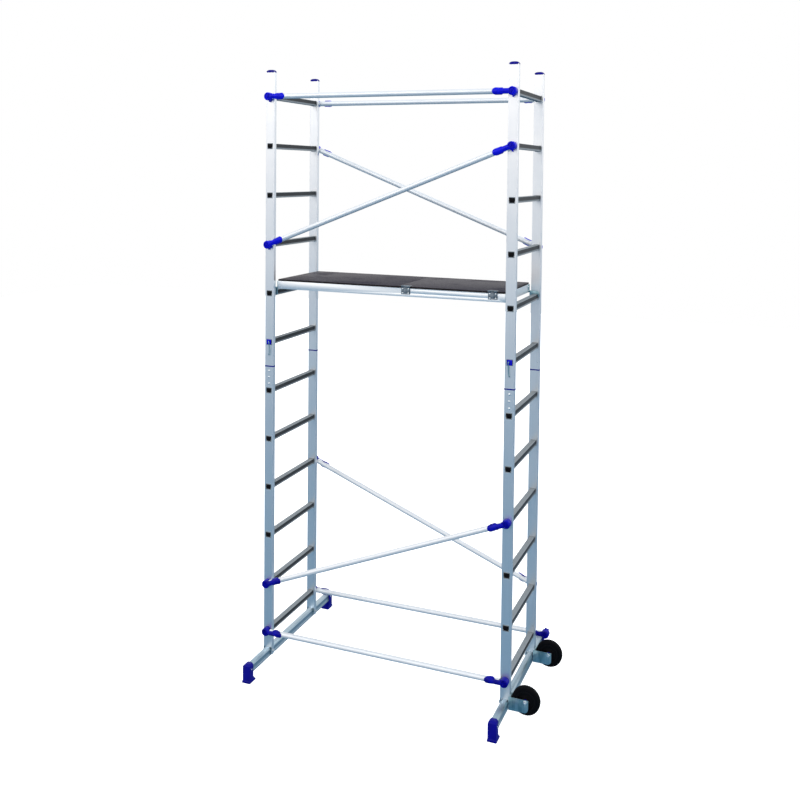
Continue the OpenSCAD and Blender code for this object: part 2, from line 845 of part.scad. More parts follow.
// The trapdoor's leaves, each a middle knuckle and a plate on the board
module hatch_leaves() {
  reach = hinge_out + 1;
  knuckle_len = hinge_mid - 1;
  color(ZINC) at_hinges() difference() {
    union() {
      rod_across(2 * knuckle_r, knuckle_len);
      translate([-knuckle_len / 2, 0, -hinge_up]) cube([knuckle_len, reach + 1, hinge_leaf_t]);
      translate([-hinge_w / 2, reach, -hinge_up]) cube([hinge_w, hinge_leaf_d, hinge_leaf_t]);
    }
    rod_across(2 * (hinge_pin_r + running_gap), 2 * hinge_w);
    translate([0, knuckle_r, -hinge_up - deck_t])
      cube([2 * hinge_w, 4 * knuckle_r, 2 * deck_t], center = true);
  }
}

module platform_rivets() {
  grip = stile_wall + 1;
  color(ZINC) {
    hinge_rivet_places() {
      translate([0, -hinge_plate_t + grip + hinge_plate_t, 0])
        rod_out(rivet_d, grip + hinge_plate_t);
      translate([0, -hinge_plate_t, 0]) rod_out(rivet_head_d, rivet_head_h);
    }
    hook_rivet_places() {
      translate([(hook_flange_t - grip) / 2, 0, 0]) rod_across(rivet_d, grip + hook_flange_t);
      translate([hook_flange_t + rivet_head_h / 2, 0, 0]) rod_across(rivet_head_d, rivet_head_h);
    }
  }
}

// ---- lock pins

module at_pin(end, side) {
  translate([frame_x(end), 0, 0]) on_side(side) translate([0, -frame_depth / 2, 0]) children();
}

module pin_plug(end, side) {
  plug_w = rung_bore - 2 * slide_gap;
  color(BLUE) at_pin(end, side) translate([0, 0, rung_z(pin_rung)]) difference() {
    union() {
      translate([0, (pin_plug_len - pin_face + 1) / 2, 0]) square_bar(plug_w, pin_plug_len + pin_face - 1);
      translate([0, pin_flange_t / 2 - pin_face, 0]) square_bar(pin_flange_w, pin_flange_t);
    }
    translate([0, pin_plug_len / 2, 0]) rod_out(pin_wire_d, pin_plug_len + pin_face);
  }
}

module pin_wire(end, side) {
  color(ZINC) at_pin(end, side) {
    drop = rung_z(pin_rung) - pin_z;
    translate([0, pin_plug_len / 2, drop + pin_z]) rod_out(pin_wire_d, pin_plug_len / 2 + pin_stand);
    translate([0, -pin_stand, pin_z]) cylinder(d = pin_wire_d, h = drop);
    for (z = [0, drop]) translate([0, -pin_stand, pin_z + z]) sphere(d = pin_wire_d);
    translate([0, pin_foot_in, pin_z]) rod_out(pin_wire_d, pin_foot_in + pin_stand);
  }
}

module front_left_pin_plug() { pin_plug(left, front); }
module front_left_pin_wire() { pin_wire(left, front); }
module front_right_pin_plug() { pin_plug(right, front); }
module front_right_pin_wire() { pin_wire(right, front); }
module rear_left_pin_plug() { pin_plug(left, rear); }
module rear_left_pin_wire() { pin_wire(left, rear); }
module rear_right_pin_plug() { pin_plug(right, rear); }
module rear_right_pin_wire() { pin_wire(right, rear); }

// ---- braces

// Places children at the left end of a brace's axis, with +X along the tube
module along_brace(b) {
  on_side(b[0]) translate([frame_x(left), -frame_depth / 2 - brace_off, rung_z(b[1])])
    rotate([0, -brace_tilt(b), -b[4]]) children();
}

module brace_tube(b) {
  length = brace_length(b) - 2 * brace_end;
  color(METAL) along_brace(b) translate([brace_end + length / 2, 0, 0]) difference() {
    rod_across(brace_d, length);
    rod_across(brace_d - 2 * brace_wall, length + 2);
  }
}

// A clip at an end of its brace: its plug stands square in the rung, its arm follows the tube
module plugged_clip(b, end) {
  turn = -end * brace_tilt(b);
  rotate([0, turn, b[4]]) translate([0, brace_off, 0]) clip_foot();
  translate([0, brace_off, 0]) clip_arm();
}

module brace_clips(b) {
  color(BLUE) along_brace(b) {
    plugged_clip(b, left);
    translate([brace_length(b), 0, 0]) mirror([1, 0, 0]) {
      if (b[3] == 0) plugged_clip(b, right);
      else rotate([180, 0, 0]) plugged_clip(b, right);
    }
  }
}

// Plug that enters the rung, and the release tab under the head
module clip_foot() {
  translate([0, (clip_plug - clip_base - 1) / 2, 0])
    square_bar(rung_bore - 2 * slide_gap, clip_plug + clip_base + 1);
  translate([0, -clip_base - clip_tab_w / 2, -clip_head_d / 2 - clip_tab_out / 2])
    cube([clip_tab_w, clip_tab_w, 2 * clip_tab_out + clip_tab_w / 2], center = true);
}

// Round head and the half shell that holds the tube from outside
module clip_arm() {
  chamfer = 3;
  neck_step = 0.5;
  shell_r = brace_d / 2 + clip_skin;
  head_h = clip_top - clip_base - chamfer;
  translate([0, -clip_base, 0]) rod_out(clip_head_d, head_h);
  translate([0, chamfer - clip_top, 0]) rotate([90, 0, 0])
    cylinder(d1 = clip_head_d, d2 = clip_head_d - 2 * chamfer, h = chamfer);
  difference() {
    translate([0, -brace_off, 0]) union() {
      translate([clip_shell_from, 0, 0]) rotate([0, 90, 0])
        cylinder(r = shell_r, h = clip_len - clip_shell_from);
      intersection() {
        rotate([0, 90, 0]) cylinder(r = shell_r - neck_step, h = clip_shell_from + 1);
        cube([2 * clip_len, 2 * clip_top, clip_neck_w], center = true);
      }
    }
    translate([clip_head_d / 2 + 1, -brace_off, 0]) rotate([0, 90, 0])
      cylinder(d = brace_d + 2 * seat_gap, h = clip_len);
    translate([-1, clip_back - brace_off, -clip_head_d])
      cube([clip_len + 2, clip_top, 2 * clip_head_d]);
  }
}

module front_top_brace() { brace_tube(front_top); }
module front_top_clips() { brace_clips(front_top); }
module front_upper_diagonal() { brace_tube(front_upper); }
module front_upper_clips() { brace_clips(front_upper); }
module front_lower_diagonal() { brace_tube(front_lower); }
module front_lower_clips() { brace_clips(front_lower); }
module front_bottom_brace() { brace_tube(front_bottom); }
module front_bottom_clips() { brace_clips(front_bottom); }
module rear_top_brace() { brace_tube(rear_top); }
module rear_top_clips() { brace_clips(rear_top); }
module rear_upper_diagonal() { brace_tube(rear_upper); }
module rear_upper_clips() { brace_clips(rear_upper); }
module rear_lower_diagonal() { brace_tube(rear_lower); }
module rear_lower_clips() { brace_clips(rear_lower); }
module rear_bottom_brace() { brace_tube(rear_bottom); }
module rear_bottom_clips() { brace_clips(rear_bottom); }

left_lower_stiles();
left_upper_stiles();
right_lower_stiles();
right_upper_stiles();
left_rungs();
right_rungs();
joint_spigots();
spigot_rivets();
joint_gaskets();
stile_caps();
rung_end_plugs();
base_crossbars();
feet();
foot_screws();
saddle_bolts();
saddle_spacers();
lock_nuts();
wheel_brackets();
axle_bolts();
front_tyre();
front_wheel_hub();
front_wheel_bushes();
rear_tyre();
rear_wheel_hub();
rear_wheel_bushes();
platform_side_rails();
platform_end_rails();
platform_cross_members();
platform_hooks();
deck_panel();
hinge_plates();
hinge_pins();
platform_rivets();
hatch_panel();
hatch_leaves();
front_left_pin_plug();
front_left_pin_wire();
front_right_pin_plug();
front_right_pin_wire();
rear_left_pin_plug();
rear_left_pin_wire();
rear_right_pin_plug();
rear_right_pin_wire();
front_top_brace();
front_top_clips();
front_upper_diagonal();
front_upper_clips();
front_lower_diagonal();
front_lower_clips();
front_bottom_brace();
front_bottom_clips();
rear_top_brace();
rear_top_clips();
rear_upper_diagonal();
rear_upper_clips();
rear_lower_diagonal();
rear_lower_clips();
rear_bottom_brace();
rear_bottom_clips();
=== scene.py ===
"""Looks of a narrow two-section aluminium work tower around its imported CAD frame.

The CAD nodes keep their shapes and take procedural finishes. Moulded, bent and
turned pieces that a machine would round off are rebuilt here as closed meshes.
Lengths are metres in the part's own frame: +Z up, front towards -Y.
"""
import json
import logging
import math
from dataclasses import dataclass
from enum import Enum
from itertools import product
from typing import Callable, Iterable, Sequence

import bmesh
import bpy
import numpy as np
from mathutils import Matrix, Vector


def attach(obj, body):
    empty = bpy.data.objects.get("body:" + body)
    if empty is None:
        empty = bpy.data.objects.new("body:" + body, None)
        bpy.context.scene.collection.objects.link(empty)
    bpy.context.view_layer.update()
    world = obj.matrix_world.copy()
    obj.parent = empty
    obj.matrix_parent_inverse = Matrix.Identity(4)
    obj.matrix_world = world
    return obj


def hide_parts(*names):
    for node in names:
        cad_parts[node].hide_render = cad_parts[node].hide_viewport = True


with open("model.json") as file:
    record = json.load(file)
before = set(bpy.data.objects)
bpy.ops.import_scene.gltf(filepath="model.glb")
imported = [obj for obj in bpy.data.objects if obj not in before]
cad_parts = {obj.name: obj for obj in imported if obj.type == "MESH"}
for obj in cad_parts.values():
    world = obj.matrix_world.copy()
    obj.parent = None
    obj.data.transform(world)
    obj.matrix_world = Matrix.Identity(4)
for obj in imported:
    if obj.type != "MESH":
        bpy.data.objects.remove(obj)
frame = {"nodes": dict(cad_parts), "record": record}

log = logging.getLogger("tower")

CORNER_POINTS = 5
Colour = Point = tuple[float, float, float]
Pair = tuple[float, float]
WHITE: Colour = (1.0, 1.0, 1.0)


class Place(Enum):
    """A named place, with the sign of the axis that points outwards there."""

    @property
    def word(self) -> str:
        """The word that node names carry for this place."""
        return self.name.lower()


class Side(Place):
    """Front or rear of the tower, along Y."""

    FRONT = -1
    REAR = 1


class End(Place):
    """Left or right ladder frame, along X."""

    LEFT = -1
    RIGHT = 1


@dataclass(frozen=True)
class Tower:
    """Sizes shared with the design source, in metres."""

    span: float = 1.420
    depth: float = 0.565
    pitch: float = 0.280
    first_rung: float = 0.196
    mid_x: float = -0.07625
    stile_w: float = 0.055
    stile_d: float = 0.025
    rung_bore: float = 0.0264
    top_rung: int = 11
    pin_rung: int = 6
    brace_r: float = 0.015
    brace_off: float = 0.017
    rear_extra: float = 0.076
    axle_out: float = 0.110
    axle_z: float = 0.107
    wheel_y: float = 0.265

    def frame_x(self, end: End) -> float:
        """Centre plane of one ladder frame.

        Args:
            end: The ladder frame.

        Returns:
            Its X in metres.
        """
        return self.mid_x + end.value * self.span / 2

    def rung_z(self, i: int) -> float:
        """Height of a rung's centre, counted from 0 at the floor."""
        return self.first_rung + i * self.pitch

    @property
    def axle_x(self) -> float:
        """Place of both axles, right of the right frame."""
        return self.frame_x(End.RIGHT) + self.axle_out

    @property
    def joint_z(self) -> float:
        """Height of the joint between the two sections."""
        return self.rung_z(self.pin_rung) - self.pitch / 2

    @property
    def stile_y(self) -> float:
        """Distance of a stile's centre from the tower's middle plane."""
        return (self.depth - self.stile_d) / 2

    @property
    def stile_top(self) -> float:
        """Height of the stiles' upper ends."""
        return self.rung_z(self.top_rung) + self.pitch / 2


TOWER = Tower()
CORNERS = list(product(End, Side))


# ---------------- shader maths


def operator(op: str, reflected: bool = False) -> Callable[["Sock", "Sock | float"], "Sock"]:
    """An arithmetic method of Sock.

    Args:
        op: Name of the Math node's operation.
        reflected: Whether the other value stands on the left.

    Returns:
        The method, which joins both values with one Math node.
    """

    def method(self: "Sock", other: "Sock | float") -> "Sock":
        """The Math node's result."""
        return self.math(op, other, self) if reflected else self.math(op, self, other)

    return method


class Sock:
    """A node socket whose arithmetic adds maths nodes to its tree."""

    __add__, __radd__ = operator("ADD"), operator("ADD", True)
    __sub__, __rsub__ = operator("SUBTRACT"), operator("SUBTRACT", True)
    __mul__, __rmul__ = operator("MULTIPLY"), operator("MULTIPLY", True)
    __truediv__, __rtruediv__ = operator("DIVIDE"), operator("DIVIDE", True)
    __mod__, __rmod__ = operator("MODULO"), operator("MODULO", True)

    def __init__(self, graph: "Graph", socket: bpy.types.NodeSocket) -> None:
        """Wraps a socket of a graph's tree."""
        self.graph = graph
        self.socket = socket

    def math(self, op: str, *values: "Sock | float", clamp: bool = False) -> "Sock":
        """Result of one Math node, held between 0 and 1 where clamp is set."""
        settings = {"operation": op, "use_clamp": clamp}
        return self.graph.out("ShaderNodeMath", settings, dict(enumerate(values)))

    def __abs__(self) -> "Sock":
        """Absolute value."""
        return self.math("ABSOLUTE", self)

    def sine(self) -> "Sock":
        """Sine of the value in radians."""
        return self.math("SINE", self)

    def clamped(self) -> "Sock":
        """The value held between 0 and 1."""
        return self.math("ADD", self, 0.0, clamp=True)

    def ramp(self, low: float, high: float) -> "Sock":
        """Smooth 0 to 1 step as the value goes from low to high.

        Args:
            low: Value where the step starts.
            high: Value where the step ends.

        Returns:
            The stepped value, 3t^2 - 2t^3 of the clamped fraction t.
        """
        t = ((self - low) / (high - low)).clamped()
        return t * t * (3.0 - 2.0 * t)


class Graph:
    """A node tree with one method that makes any node."""

    def __init__(self, tree: bpy.types.NodeTree) -> None:
        """Takes over a tree and empties it."""
        self.tree = tree
        tree.nodes.clear()

    def node(
        self, kind: str, settings: dict | None = None, inputs: dict | None = None
    ) -> bpy.types.Node:
        """Adds a node.

        Args:
            kind: Blender's node type name.
            settings: Attributes to set on the node.
            inputs: Input names or numbers, each with a value or a Sock to link.

        Returns:
            The new node.
        """
        made = self.tree.nodes.new(kind)
        for name, value in (settings or {}).items():
            setattr(made, name, value)
        for key, value in (inputs or {}).items():
            if isinstance(value, Sock):
                self.tree.links.new(value.socket, made.inputs[key])
            else:
                made.inputs[key].default_value = value
        return made

    def out(
        self,
        kind: str,
        settings: dict | None = None,
        inputs: dict | None = None,
        name: str | int = 0,
    ) -> Sock:
        """First or named output of a new node."""
        return Sock(self, self.node(kind, settings, inputs).outputs[name])

    def coords(self) -> Sock:
        """Object coordinates in metres."""
        return self.out("ShaderNodeTexCoord", name="Object")

    def axis(self, vector: Sock, name: str) -> Sock:
        """One component, X, Y or Z, of a vector."""
        return self.out("ShaderNodeSeparateXYZ", None, {0: vector}, name)

    def stretch(self, vector: Sock, scale: Sequence[float]) -> Sock:
        """A vector scaled along each axis."""
        values = {0: vector, 1: tuple(scale)}
        return self.out("ShaderNodeVectorMath", {"operation": "MULTIPLY"}, values)

    def noise(self, vector: Sock, scale: float, detail: float = 3.0, rough: float = 0.5) -> Sock:
        """Fractal noise from 0 to 1."""
        values = {"Vector": vector, "Scale": scale, "Detail": detail, "Roughness": rough}
        return self.out("ShaderNodeTexNoise", None, values, "Fac")

    def cells(self, vector: Sock, scale: float) -> Sock:
        """Distance field of scattered cells."""
        values = {"Vector": vector, "Scale": scale}
        return self.out("ShaderNodeTexVoronoi", None, values, "Distance")

    def mix(self, factor: Sock | float, low: Colour | Sock, high: Colour | Sock) -> Sock:
        """The colour that lies by a factor of 0 to 1 between two others."""
        ends = {k: c if isinstance(c, Sock) else (*c, 1.0) for k, c in ((6, low), (7, high))}
        return self.out("ShaderNodeMix", {"data_type": "RGBA"}, {0: factor, **ends}, 2)

    def bump(self, height: Sock, strength: float, distance: float) -> Sock:
        """A normal bumped by a height."""
        values = {"Height": height, "Strength": strength, "Distance": distance}
        return self.out("ShaderNodeBump", None, values, "Normal")


# ---------------- finishes


@dataclass(frozen=True)
class Finish:
    """One surface finish. Subclasses fill in the varying inputs."""

    name: str
    color: Colour
    roughness: float = 0.5
    metallic: float = 0.0
    specular: float = 0.5

    def inputs(self, g: Graph) -> dict:
        """Principled inputs that vary over the surface.

        Args:
            g: Graph that takes their nodes.

        Returns:
            A Sock for each varying input.
        """
        return {}

    def build(self) -> bpy.types.Material:
        """Makes the material.

        Returns:
            A new material with this finish's nodes.
        """
        material = bpy.data.materials.new(self.name)
        material.use_nodes = True
        g = Graph(material.node_tree)
        values: dict = {
            "Base Color": (*self.color, 1.0),
            "Roughness": self.roughness,
            "Metallic": self.metallic,
            "Specular IOR Level": self.specular,
        }
        values.update(self.inputs(g))
        shader = g.out("ShaderNodeBsdfPrincipled", None, values)
        g.node("ShaderNodeOutputMaterial", None, {0: shader})
        return material


@dataclass(frozen=True)
class Extruded(Finish):
    """Mill finish aluminium with die lines along one axis."""

    metallic: float = 0.93
    along: Point = (1.0, 1.0, 0.004)
    dark: Colour = (0.42, 0.46, 0.52)
    lines: float = 900.0
    # How strongly painted shade darkens the metal near the floor.
    low_dirt: float = 0.25
    # Blue grey painted shade laid on the crossbars next to the stiles, standing in for the dark
    # studio below.
    base_tone: Colour = (0.3, 0.42, 0.5)
    bar_top: Pair = (0.0955, 0.099)
    bar_side: Pair = (0.02, 0.022)

    def inputs(self, g: Graph) -> dict:
        """Die lines, clouds and scuffs, with painted shade that darkens the metal near the floor
        and on the crossbars at the stiles.
        """
        where = g.coords()
        die = g.noise(g.stretch(where, self.along), self.lines, 2.0, 0.6)
        cloud = g.noise(where, 7.0, 4.0, 0.55)
        scuff = g.noise(g.stretch(where, (1.0, 1.0, 0.35)), 60.0, 5.0, 0.75).ramp(0.62, 0.74)
        # Painted shade: the metal darkens over the lowest half metre, in patches of the cloud
        # noise.
        painted_low_shade = (1.0 - g.axis(where, "Z").ramp(0.0, 0.5)) * self.low_dirt
        streaks = 0.5 * die.ramp(0.3, 0.7) + 0.45 * cloud.ramp(0.3, 0.75)
        shade = streaks * 0.55 + painted_low_shade * cloud
        tone = g.mix(shade.clamped(), self.color, self.dark)
        pale = tuple(min(1.0, c * 1.15) for c in self.color)
        # Painted shade: crossbars below bar_top and close to each frame's stiles take the blue grey
        # shade tone.
        from_frame = abs(abs(g.axis(where, "X") - TOWER.mid_x) - TOWER.span / 2)
        under = 1.0 - g.axis(where, "Z").ramp(*self.bar_top)
        bar_shade_mask = under * (1.0 - from_frame.ramp(*self.bar_side))
        tone = g.mix(bar_shade_mask * 0.9, tone, self.base_tone)
        worn = g.mix(scuff * 0.25, tone, pale)
        rough = self.roughness + 0.1 * cloud + 0.08 * die - 0.06 * scuff
        return {
            "Base Color": worn,
            "Roughness": rough,
            "Normal": g.bump(die + 0.6 * scuff, 0.22, 0.0002),
        }


@dataclass(frozen=True)
class Ribbed(Extruded):
    """Rung tube: dull ribbed aluminium, with painted highlights along each rung's lower and upper
    edge.
    """

    # Colour of the painted highlights on the rung edges.
    edge: Colour = (0.3, 0.34, 0.37)
    lower: Pair = (-0.0095, -0.004)
    upper: Pair = (0.0125, 0.0145)

    def inputs(self, g: Graph) -> dict:
        """The extruded look with painted highlights on the edges, at heights that repeat with the
        rungs.
        """
        values = super().inputs(g)
        pitch = TOWER.pitch
        height = (g.axis(g.coords(), "Z") - (TOWER.first_rung - pitch / 2)) % pitch - pitch / 2
        # Painted highlight: bands near each rung's lower and upper edge are lightened towards the
        # edge colour.
        low = 1.0 - height.ramp(*self.lower)
        high = height.ramp(*self.upper)
        values["Base Color"] = g.mix((low + high) * 0.85, values["Base Color"], self.edge)
        return values


@dataclass(frozen=True)
class Zinc(Finish):
    """Zinc plated steel: a faint blue green bloom with soft vertical bands."""

    metallic: float = 0.92
    tint: Colour = (0.26, 0.36, 0.38)

    def inputs(self, g: Graph) -> dict:
        """Soft bands and bloom over a fine spangle."""
        where = g.coords()
        band = g.noise(g.stretch(where, (1.0, 1.0, 0.12)), 60.0, 3.0, 0.55)
        bloom = g.noise(where, 22.0, 4.0, 0.6)
        spangle = g.cells(where, 420.0)
        color = g.mix(band.ramp(0.35, 0.68), self.color, self.tint)
        pale = tuple(min(1.0, c * 1.3) for c in self.color)
        tone = g.mix(bloom.ramp(0.45, 0.75) * 0.45, color, pale)
        return {
            "Base Color": tone,
            "Roughness": self.roughness + 0.16 * bloom + 0.05 * band,
            "Normal": g.bump(spangle, 0.08, 0.0002),
        }


@dataclass(frozen=True)
class Moulded(Finish):
    """Injection moulded plastic with a fine spark-eroded grain and handling marks."""

    deep: Colour = (0.0, 0.0, 0.1)
    grain: float = 1600.0
    # Strength of painted shade that darkens the plastic lower down the tower.
    fade: float = 0.0

    def inputs(self, g: Graph) -> dict:
        """Flow marks, rubbed spots and a fine grain, with painted shade that darkens the plastic
        lower down.
        """
        where = g.coords()
        flow = g.noise(where, 26.0, 3.0, 0.5)
        grain = g.noise(where, self.grain, 2.0, 0.6)
        rub = g.noise(g.stretch(where, (1.0, 0.3, 1.0)), 130.0, 5.0, 0.8).ramp(0.64, 0.78)
        shade = flow.ramp(0.35, 0.75) * 0.5
        # Painted shade: the plastic darkens towards the floor over the tower's height.
        if self.fade:
            shade = (shade + (1.0 - g.axis(where, "Z").ramp(0.2, 3.2)) * self.fade).clamped()
        tone = g.mix(shade, self.color, self.deep)
        pale = tuple(min(1.0, c * 1.4 + 0.01) for c in self.color)
        return {
            "Base Color": g.mix(rub * 0.3, tone, pale),
            "Roughness": self.roughness + 0.1 * flow + 0.12 * rub,
            "Normal": g.bump(grain, 0.1, 0.0002),
        }


@dataclass(frozen=True)
class Rubber(Finish):
    """Black tyre rubber with a dusty running band."""

    dust: Colour = (0.008, 0.007, 0.009)

    def inputs(self, g: Graph) -> dict:
        """Patches of dust in the grain."""
        where = g.coords()
        powder = g.noise(where, 90.0, 5.0, 0.7)
        patch = g.noise(where, 14.0, 3.0, 0.6)
        tone = g.mix((powder.ramp(0.45, 0.7) * patch.ramp(0.4, 0.7)) * 0.7, self.color, self.dust)
        return {
            "Base Color": tone,
            "Roughness": self.roughness + 0.2 * powder,
            "Normal": g.bump(powder, 0.12, 0.0003),
        }


@dataclass(frozen=True)
class Board(Finish):
    """Resin faced plywood: pressed anti-slip mesh on the faces, plies on the edges."""

    edge: Colour = (0.006, 0.005, 0.008)
    bare: Colour = (0.03, 0.025, 0.024)
    trodden: Colour = (0.038, 0.036, 0.055)
    mesh_pitch: float = 0.0042
    ply_pitch: float = 0.0022

    def inputs(self, g: Graph) -> dict:
        """A mesh of two crossed waves on the faces, plies and fibre on the edges."""
        where = g.coords()
        normal = g.out("ShaderNodeNewGeometry", name="Normal")
        face = abs(g.axis(normal, "Z")).ramp(0.6, 0.8)
        x, y = g.axis(where, "X"), g.axis(where, "Y")
        wire = 2.0 * math.pi / self.mesh_pitch
        mesh = ((x + y) * wire).sine() * ((x - y) * wire).sine()
        bumps = mesh.ramp(-0.2, 0.6)
        ply = (g.axis(where, "Z") * (2.0 * math.pi / self.ply_pitch)).sine().ramp(-0.4, 0.6)
        fibre = g.noise(g.stretch(where, (0.15, 1.0, 1.0)), 240.0, 4.0, 0.7)
        worn = g.noise(where, 6.0, 5.0, 0.6).ramp(0.5, 0.75)
        edge = g.mix(ply * 0.35 + fibre * 0.2, self.edge, self.bare)
        top = g.mix(bumps * 0.3 + worn * 0.35, self.color, self.trodden)
        return {
            "Base Color": g.mix(face, edge, top),
            "Roughness": self.roughness + 0.2 * worn - 0.08 * bumps,
            "Normal": g.bump(bumps * face + fibre * 0.15, 0.35, 0.0003),
        }


FINISHES = (
    Extruded("stile_aluminium", (0.82, 0.86, 0.9), 0.24, dark=(0.66, 0.71, 0.77)),
    Ribbed(
        "rung_aluminium", (0.05, 0.054, 0.058), 0.4, metallic=0.1, specular=0.1,
        along=(1.0, 0.004, 1.0), dark=(0.022, 0.025, 0.029),
    ),
    Extruded(
        "rail_aluminium", (0.88, 0.93, 0.97), 0.32,
        along=(0.004, 1.0, 1.0), dark=(0.74, 0.8, 0.85), low_dirt=0.0,
    ),
    Extruded(
        "brace_aluminium", (0.8, 0.84, 0.88), 0.4, metallic=0.5,
        along=(0.01, 1.0, 1.0), dark=(0.66, 0.7, 0.75), lines=700.0,
    ),
    Zinc("bright_steel", (0.86, 0.9, 0.92), 0.16, tint=(0.6, 0.66, 0.68)),
    Zinc("zinc_steel", (0.34, 0.5, 0.56), 0.22, tint=(0.17, 0.31, 0.36)),
    Zinc("dark_steel", (0.2, 0.24, 0.28), 0.34, tint=(0.1, 0.13, 0.16)),
    Moulded(
        "blue_plastic", (0.003, 0.006, 0.72), 0.3, specular=0.12, deep=(0.0, 0.0, 0.22), fade=0.75
    ),
    Moulded("navy_plastic", (0.0, 0.0, 0.24), 0.4, specular=0.12, deep=(0.0, 0.0, 0.12)),
    Moulded(
        "black_plastic", (0.003, 0.003, 0.004), 0.45, specular=0.08, deep=(0.002, 0.002, 0.003)
    ),
    Rubber("tyre_rubber", (0.0015, 0.0018, 0.003), 0.5, specular=0.06),
    Board("deck_board", (0.015, 0.013, 0.027), 0.5, specular=0.1),
)


# ---------------- mesh building


class Shell:
    """Closed quad grids gathered into one mesh."""

    def __init__(self) -> None:
        """Starts with no points and no faces."""
        self.points: list[np.ndarray] = []
        self.faces: list[list[int]] = []
        self.count = 0

    def add(self, points: np.ndarray, faces: Iterable[Sequence[int]]) -> None:
        """Adds points with faces that index into them."""
        self.faces += [[int(i) + self.count for i in f] for f in faces]
        self.points.append(points.reshape(-1, 3))
        self.count += len(self.points[-1])

    def loft(self, rings: np.ndarray) -> None:
        """Adds a closed tube through rings of points, with flat ends.

        Args:
            rings: Array of shape (rings, points in a ring, 3).
        """
        rows, cols = rings.shape[:2]
        i, j = np.meshgrid(np.arange(rows - 1), np.arange(cols), indexing="ij")
        k = (j + 1) % cols
        quads = np.stack([i * cols + j, i * cols + k, (i + 1) * cols + k, (i + 1) * cols + j], -1)
        faces = quads.reshape(-1, 4).tolist()
        faces.append(list(range(cols))[::-1])
        faces.append(list(range((rows - 1) * cols, rows * cols)))
        self.add(rings, faces)

    def sheet(self, outer: np.ndarray, inner: np.ndarray) -> None:
        """Adds a curved wall between two grids of points with the same shape."""
        self.loft(np.concatenate([outer, inner[:, ::-1]], axis=1))

    def ring(self, profile: np.ndarray, steps: int, reach: Callable | None = None) -> None:
        """Adds a closed profile turned about local Z.

        Args:
            profile: Points (radius, height) in a closed loop.
            steps: Steps round the axis.
            reach: Takes radius, height and angle grids and gives new radii.
        """
        angle = np.linspace(0.0, 2.0 * math.pi, steps, endpoint=False)
        a, r = np.meshgrid(angle, profile[:, 0], indexing="ij")
        z = np.broadcast_to(profile[:, 1], r.shape)
        r = r if reach is None else reach(r, z, a)
        self.closed(np.stack([r * np.cos(a), r * np.sin(a), z], -1))

    def closed(self, grid: np.ndarray) -> None:
        """Adds a grid of points that closes on itself both ways, like a bent tube.

        Args:
            grid: Array of shape (rows, columns, 3).
        """
        rows, cols = grid.shape[:2]
        i, j = np.meshgrid(np.arange(rows), np.arange(cols), indexing="ij")
        i2, j2 = (i + 1) % rows, (j + 1) % cols
        quads = np.stack([i * cols + j, i2 * cols + j, i2 * cols + j2, i * cols + j2], -1)
        self.add(grid, quads.reshape(-1, 4).tolist())

    def put(self, part: "Shell", at: Matrix) -> None:
        """Adds another shell's mesh at a placement."""
        m = np.array(at)
        self.add(np.concatenate(part.points) @ m[:3, :3].T + m[:3, 3], part.faces)

    def object(self, name: str, smooth: float = 35.0) -> bpy.types.Object:
        """Makes the gathered mesh into an object.

        Args:
            name: Name of the object.
            smooth: Largest angle in degrees that is shaded smooth.

        Returns:
            The object, linked into the scene, at the origin.
        """
        mesh = bpy.data.meshes.new(name)
        mesh.from_pydata(np.concatenate(self.points).tolist(), [], self.faces)
        return finished(name, mesh, smooth)


def finished(name: str, mesh: bpy.types.Mesh, smooth: float) -> bpy.types.Object:
    """Makes normals point outwards, sets shading and links an object for a mesh.

    Args:
        name: Name of the object.
        mesh: Its mesh.
        smooth: Largest angle in degrees that is shaded smooth.

    Returns:
        The object.
    """
    bm = bmesh.new()
    bm.from_mesh(mesh)
    bmesh.ops.recalc_face_normals(bm, faces=bm.faces)
    bm.to_mesh(mesh)
    bm.free()
    mesh.shade_smooth()
    mesh.set_sharp_from_angle(angle=math.radians(smooth))
    made = bpy.data.objects.new(name, mesh)
    bpy.context.scene.collection.objects.link(made)
    return made


def placed(
    x: float, y: float, z: float, side: Side, end: End = End.LEFT, tilt: float = 0.0
) -> Matrix:
    """Local frame of a piece pushed into a rung from outside.

    Local X runs along the brace towards the other frame, Y runs along the height
    when there is no tilt, and Z points out of the tower.

    Args:
        x, y, z: Place of the local origin.
        side: Front or rear; local Z becomes outwards Y.
        end: The frame; local X is mirrored on the right.
        tilt: Angle of the brace above the horizontal, left to right, in radians.

    Returns:
        The placement matrix.
    """
    out = Vector((0.0, float(side.value), 0.0))
    along = Vector((math.cos(tilt), 0.0, math.sin(tilt))) * -end.value
    up = Vector((-math.sin(tilt), 0.0, math.cos(tilt)))
    m = Matrix((along, up, out)).transposed().to_4x4()
    m.translation = (x, y, z)
    return m


def arc(cx: float, cy: float, r: float, start: float, stop: float, n: int) -> np.ndarray:
    """Points of a circular arc, angles in degrees."""
    a = np.radians(np.linspace(start, stop, n))
    return np.stack([cx + r * np.cos(a), cy + r * np.sin(a)], -1)


def circle(radius: float, n: int) -> np.ndarray:
    """Outline of a circle with n points."""
    return arc(0.0, 0.0, radius, 0.0, 360.0 - 360.0 / n, n)


def rounded_rect(half_x: float, half_y: float, corner: float) -> np.ndarray:
    """Outline of a rectangle with an arc at each corner.

    Args:
        half_x, half_y: Half the width and half the height.
        corner: Radius of the corners.

    Returns:
        The outline's points (x, y).
    """
    cx, cy = half_x - corner, half_y - corner
    return np.concatenate(
        [
            arc(sx * cx, sy * cy, corner, a, a + 90.0, CORNER_POINTS)
            for sx, sy, a in ((1, 1, 0.0), (-1, 1, 90.0), (-1, -1, 180.0), (1, -1, 270.0))
        ]
    )


def rounded_square(half: float, corner: float) -> np.ndarray:
    """Outline of a square with rounded corners."""
    return rounded_rect(half, half, corner)


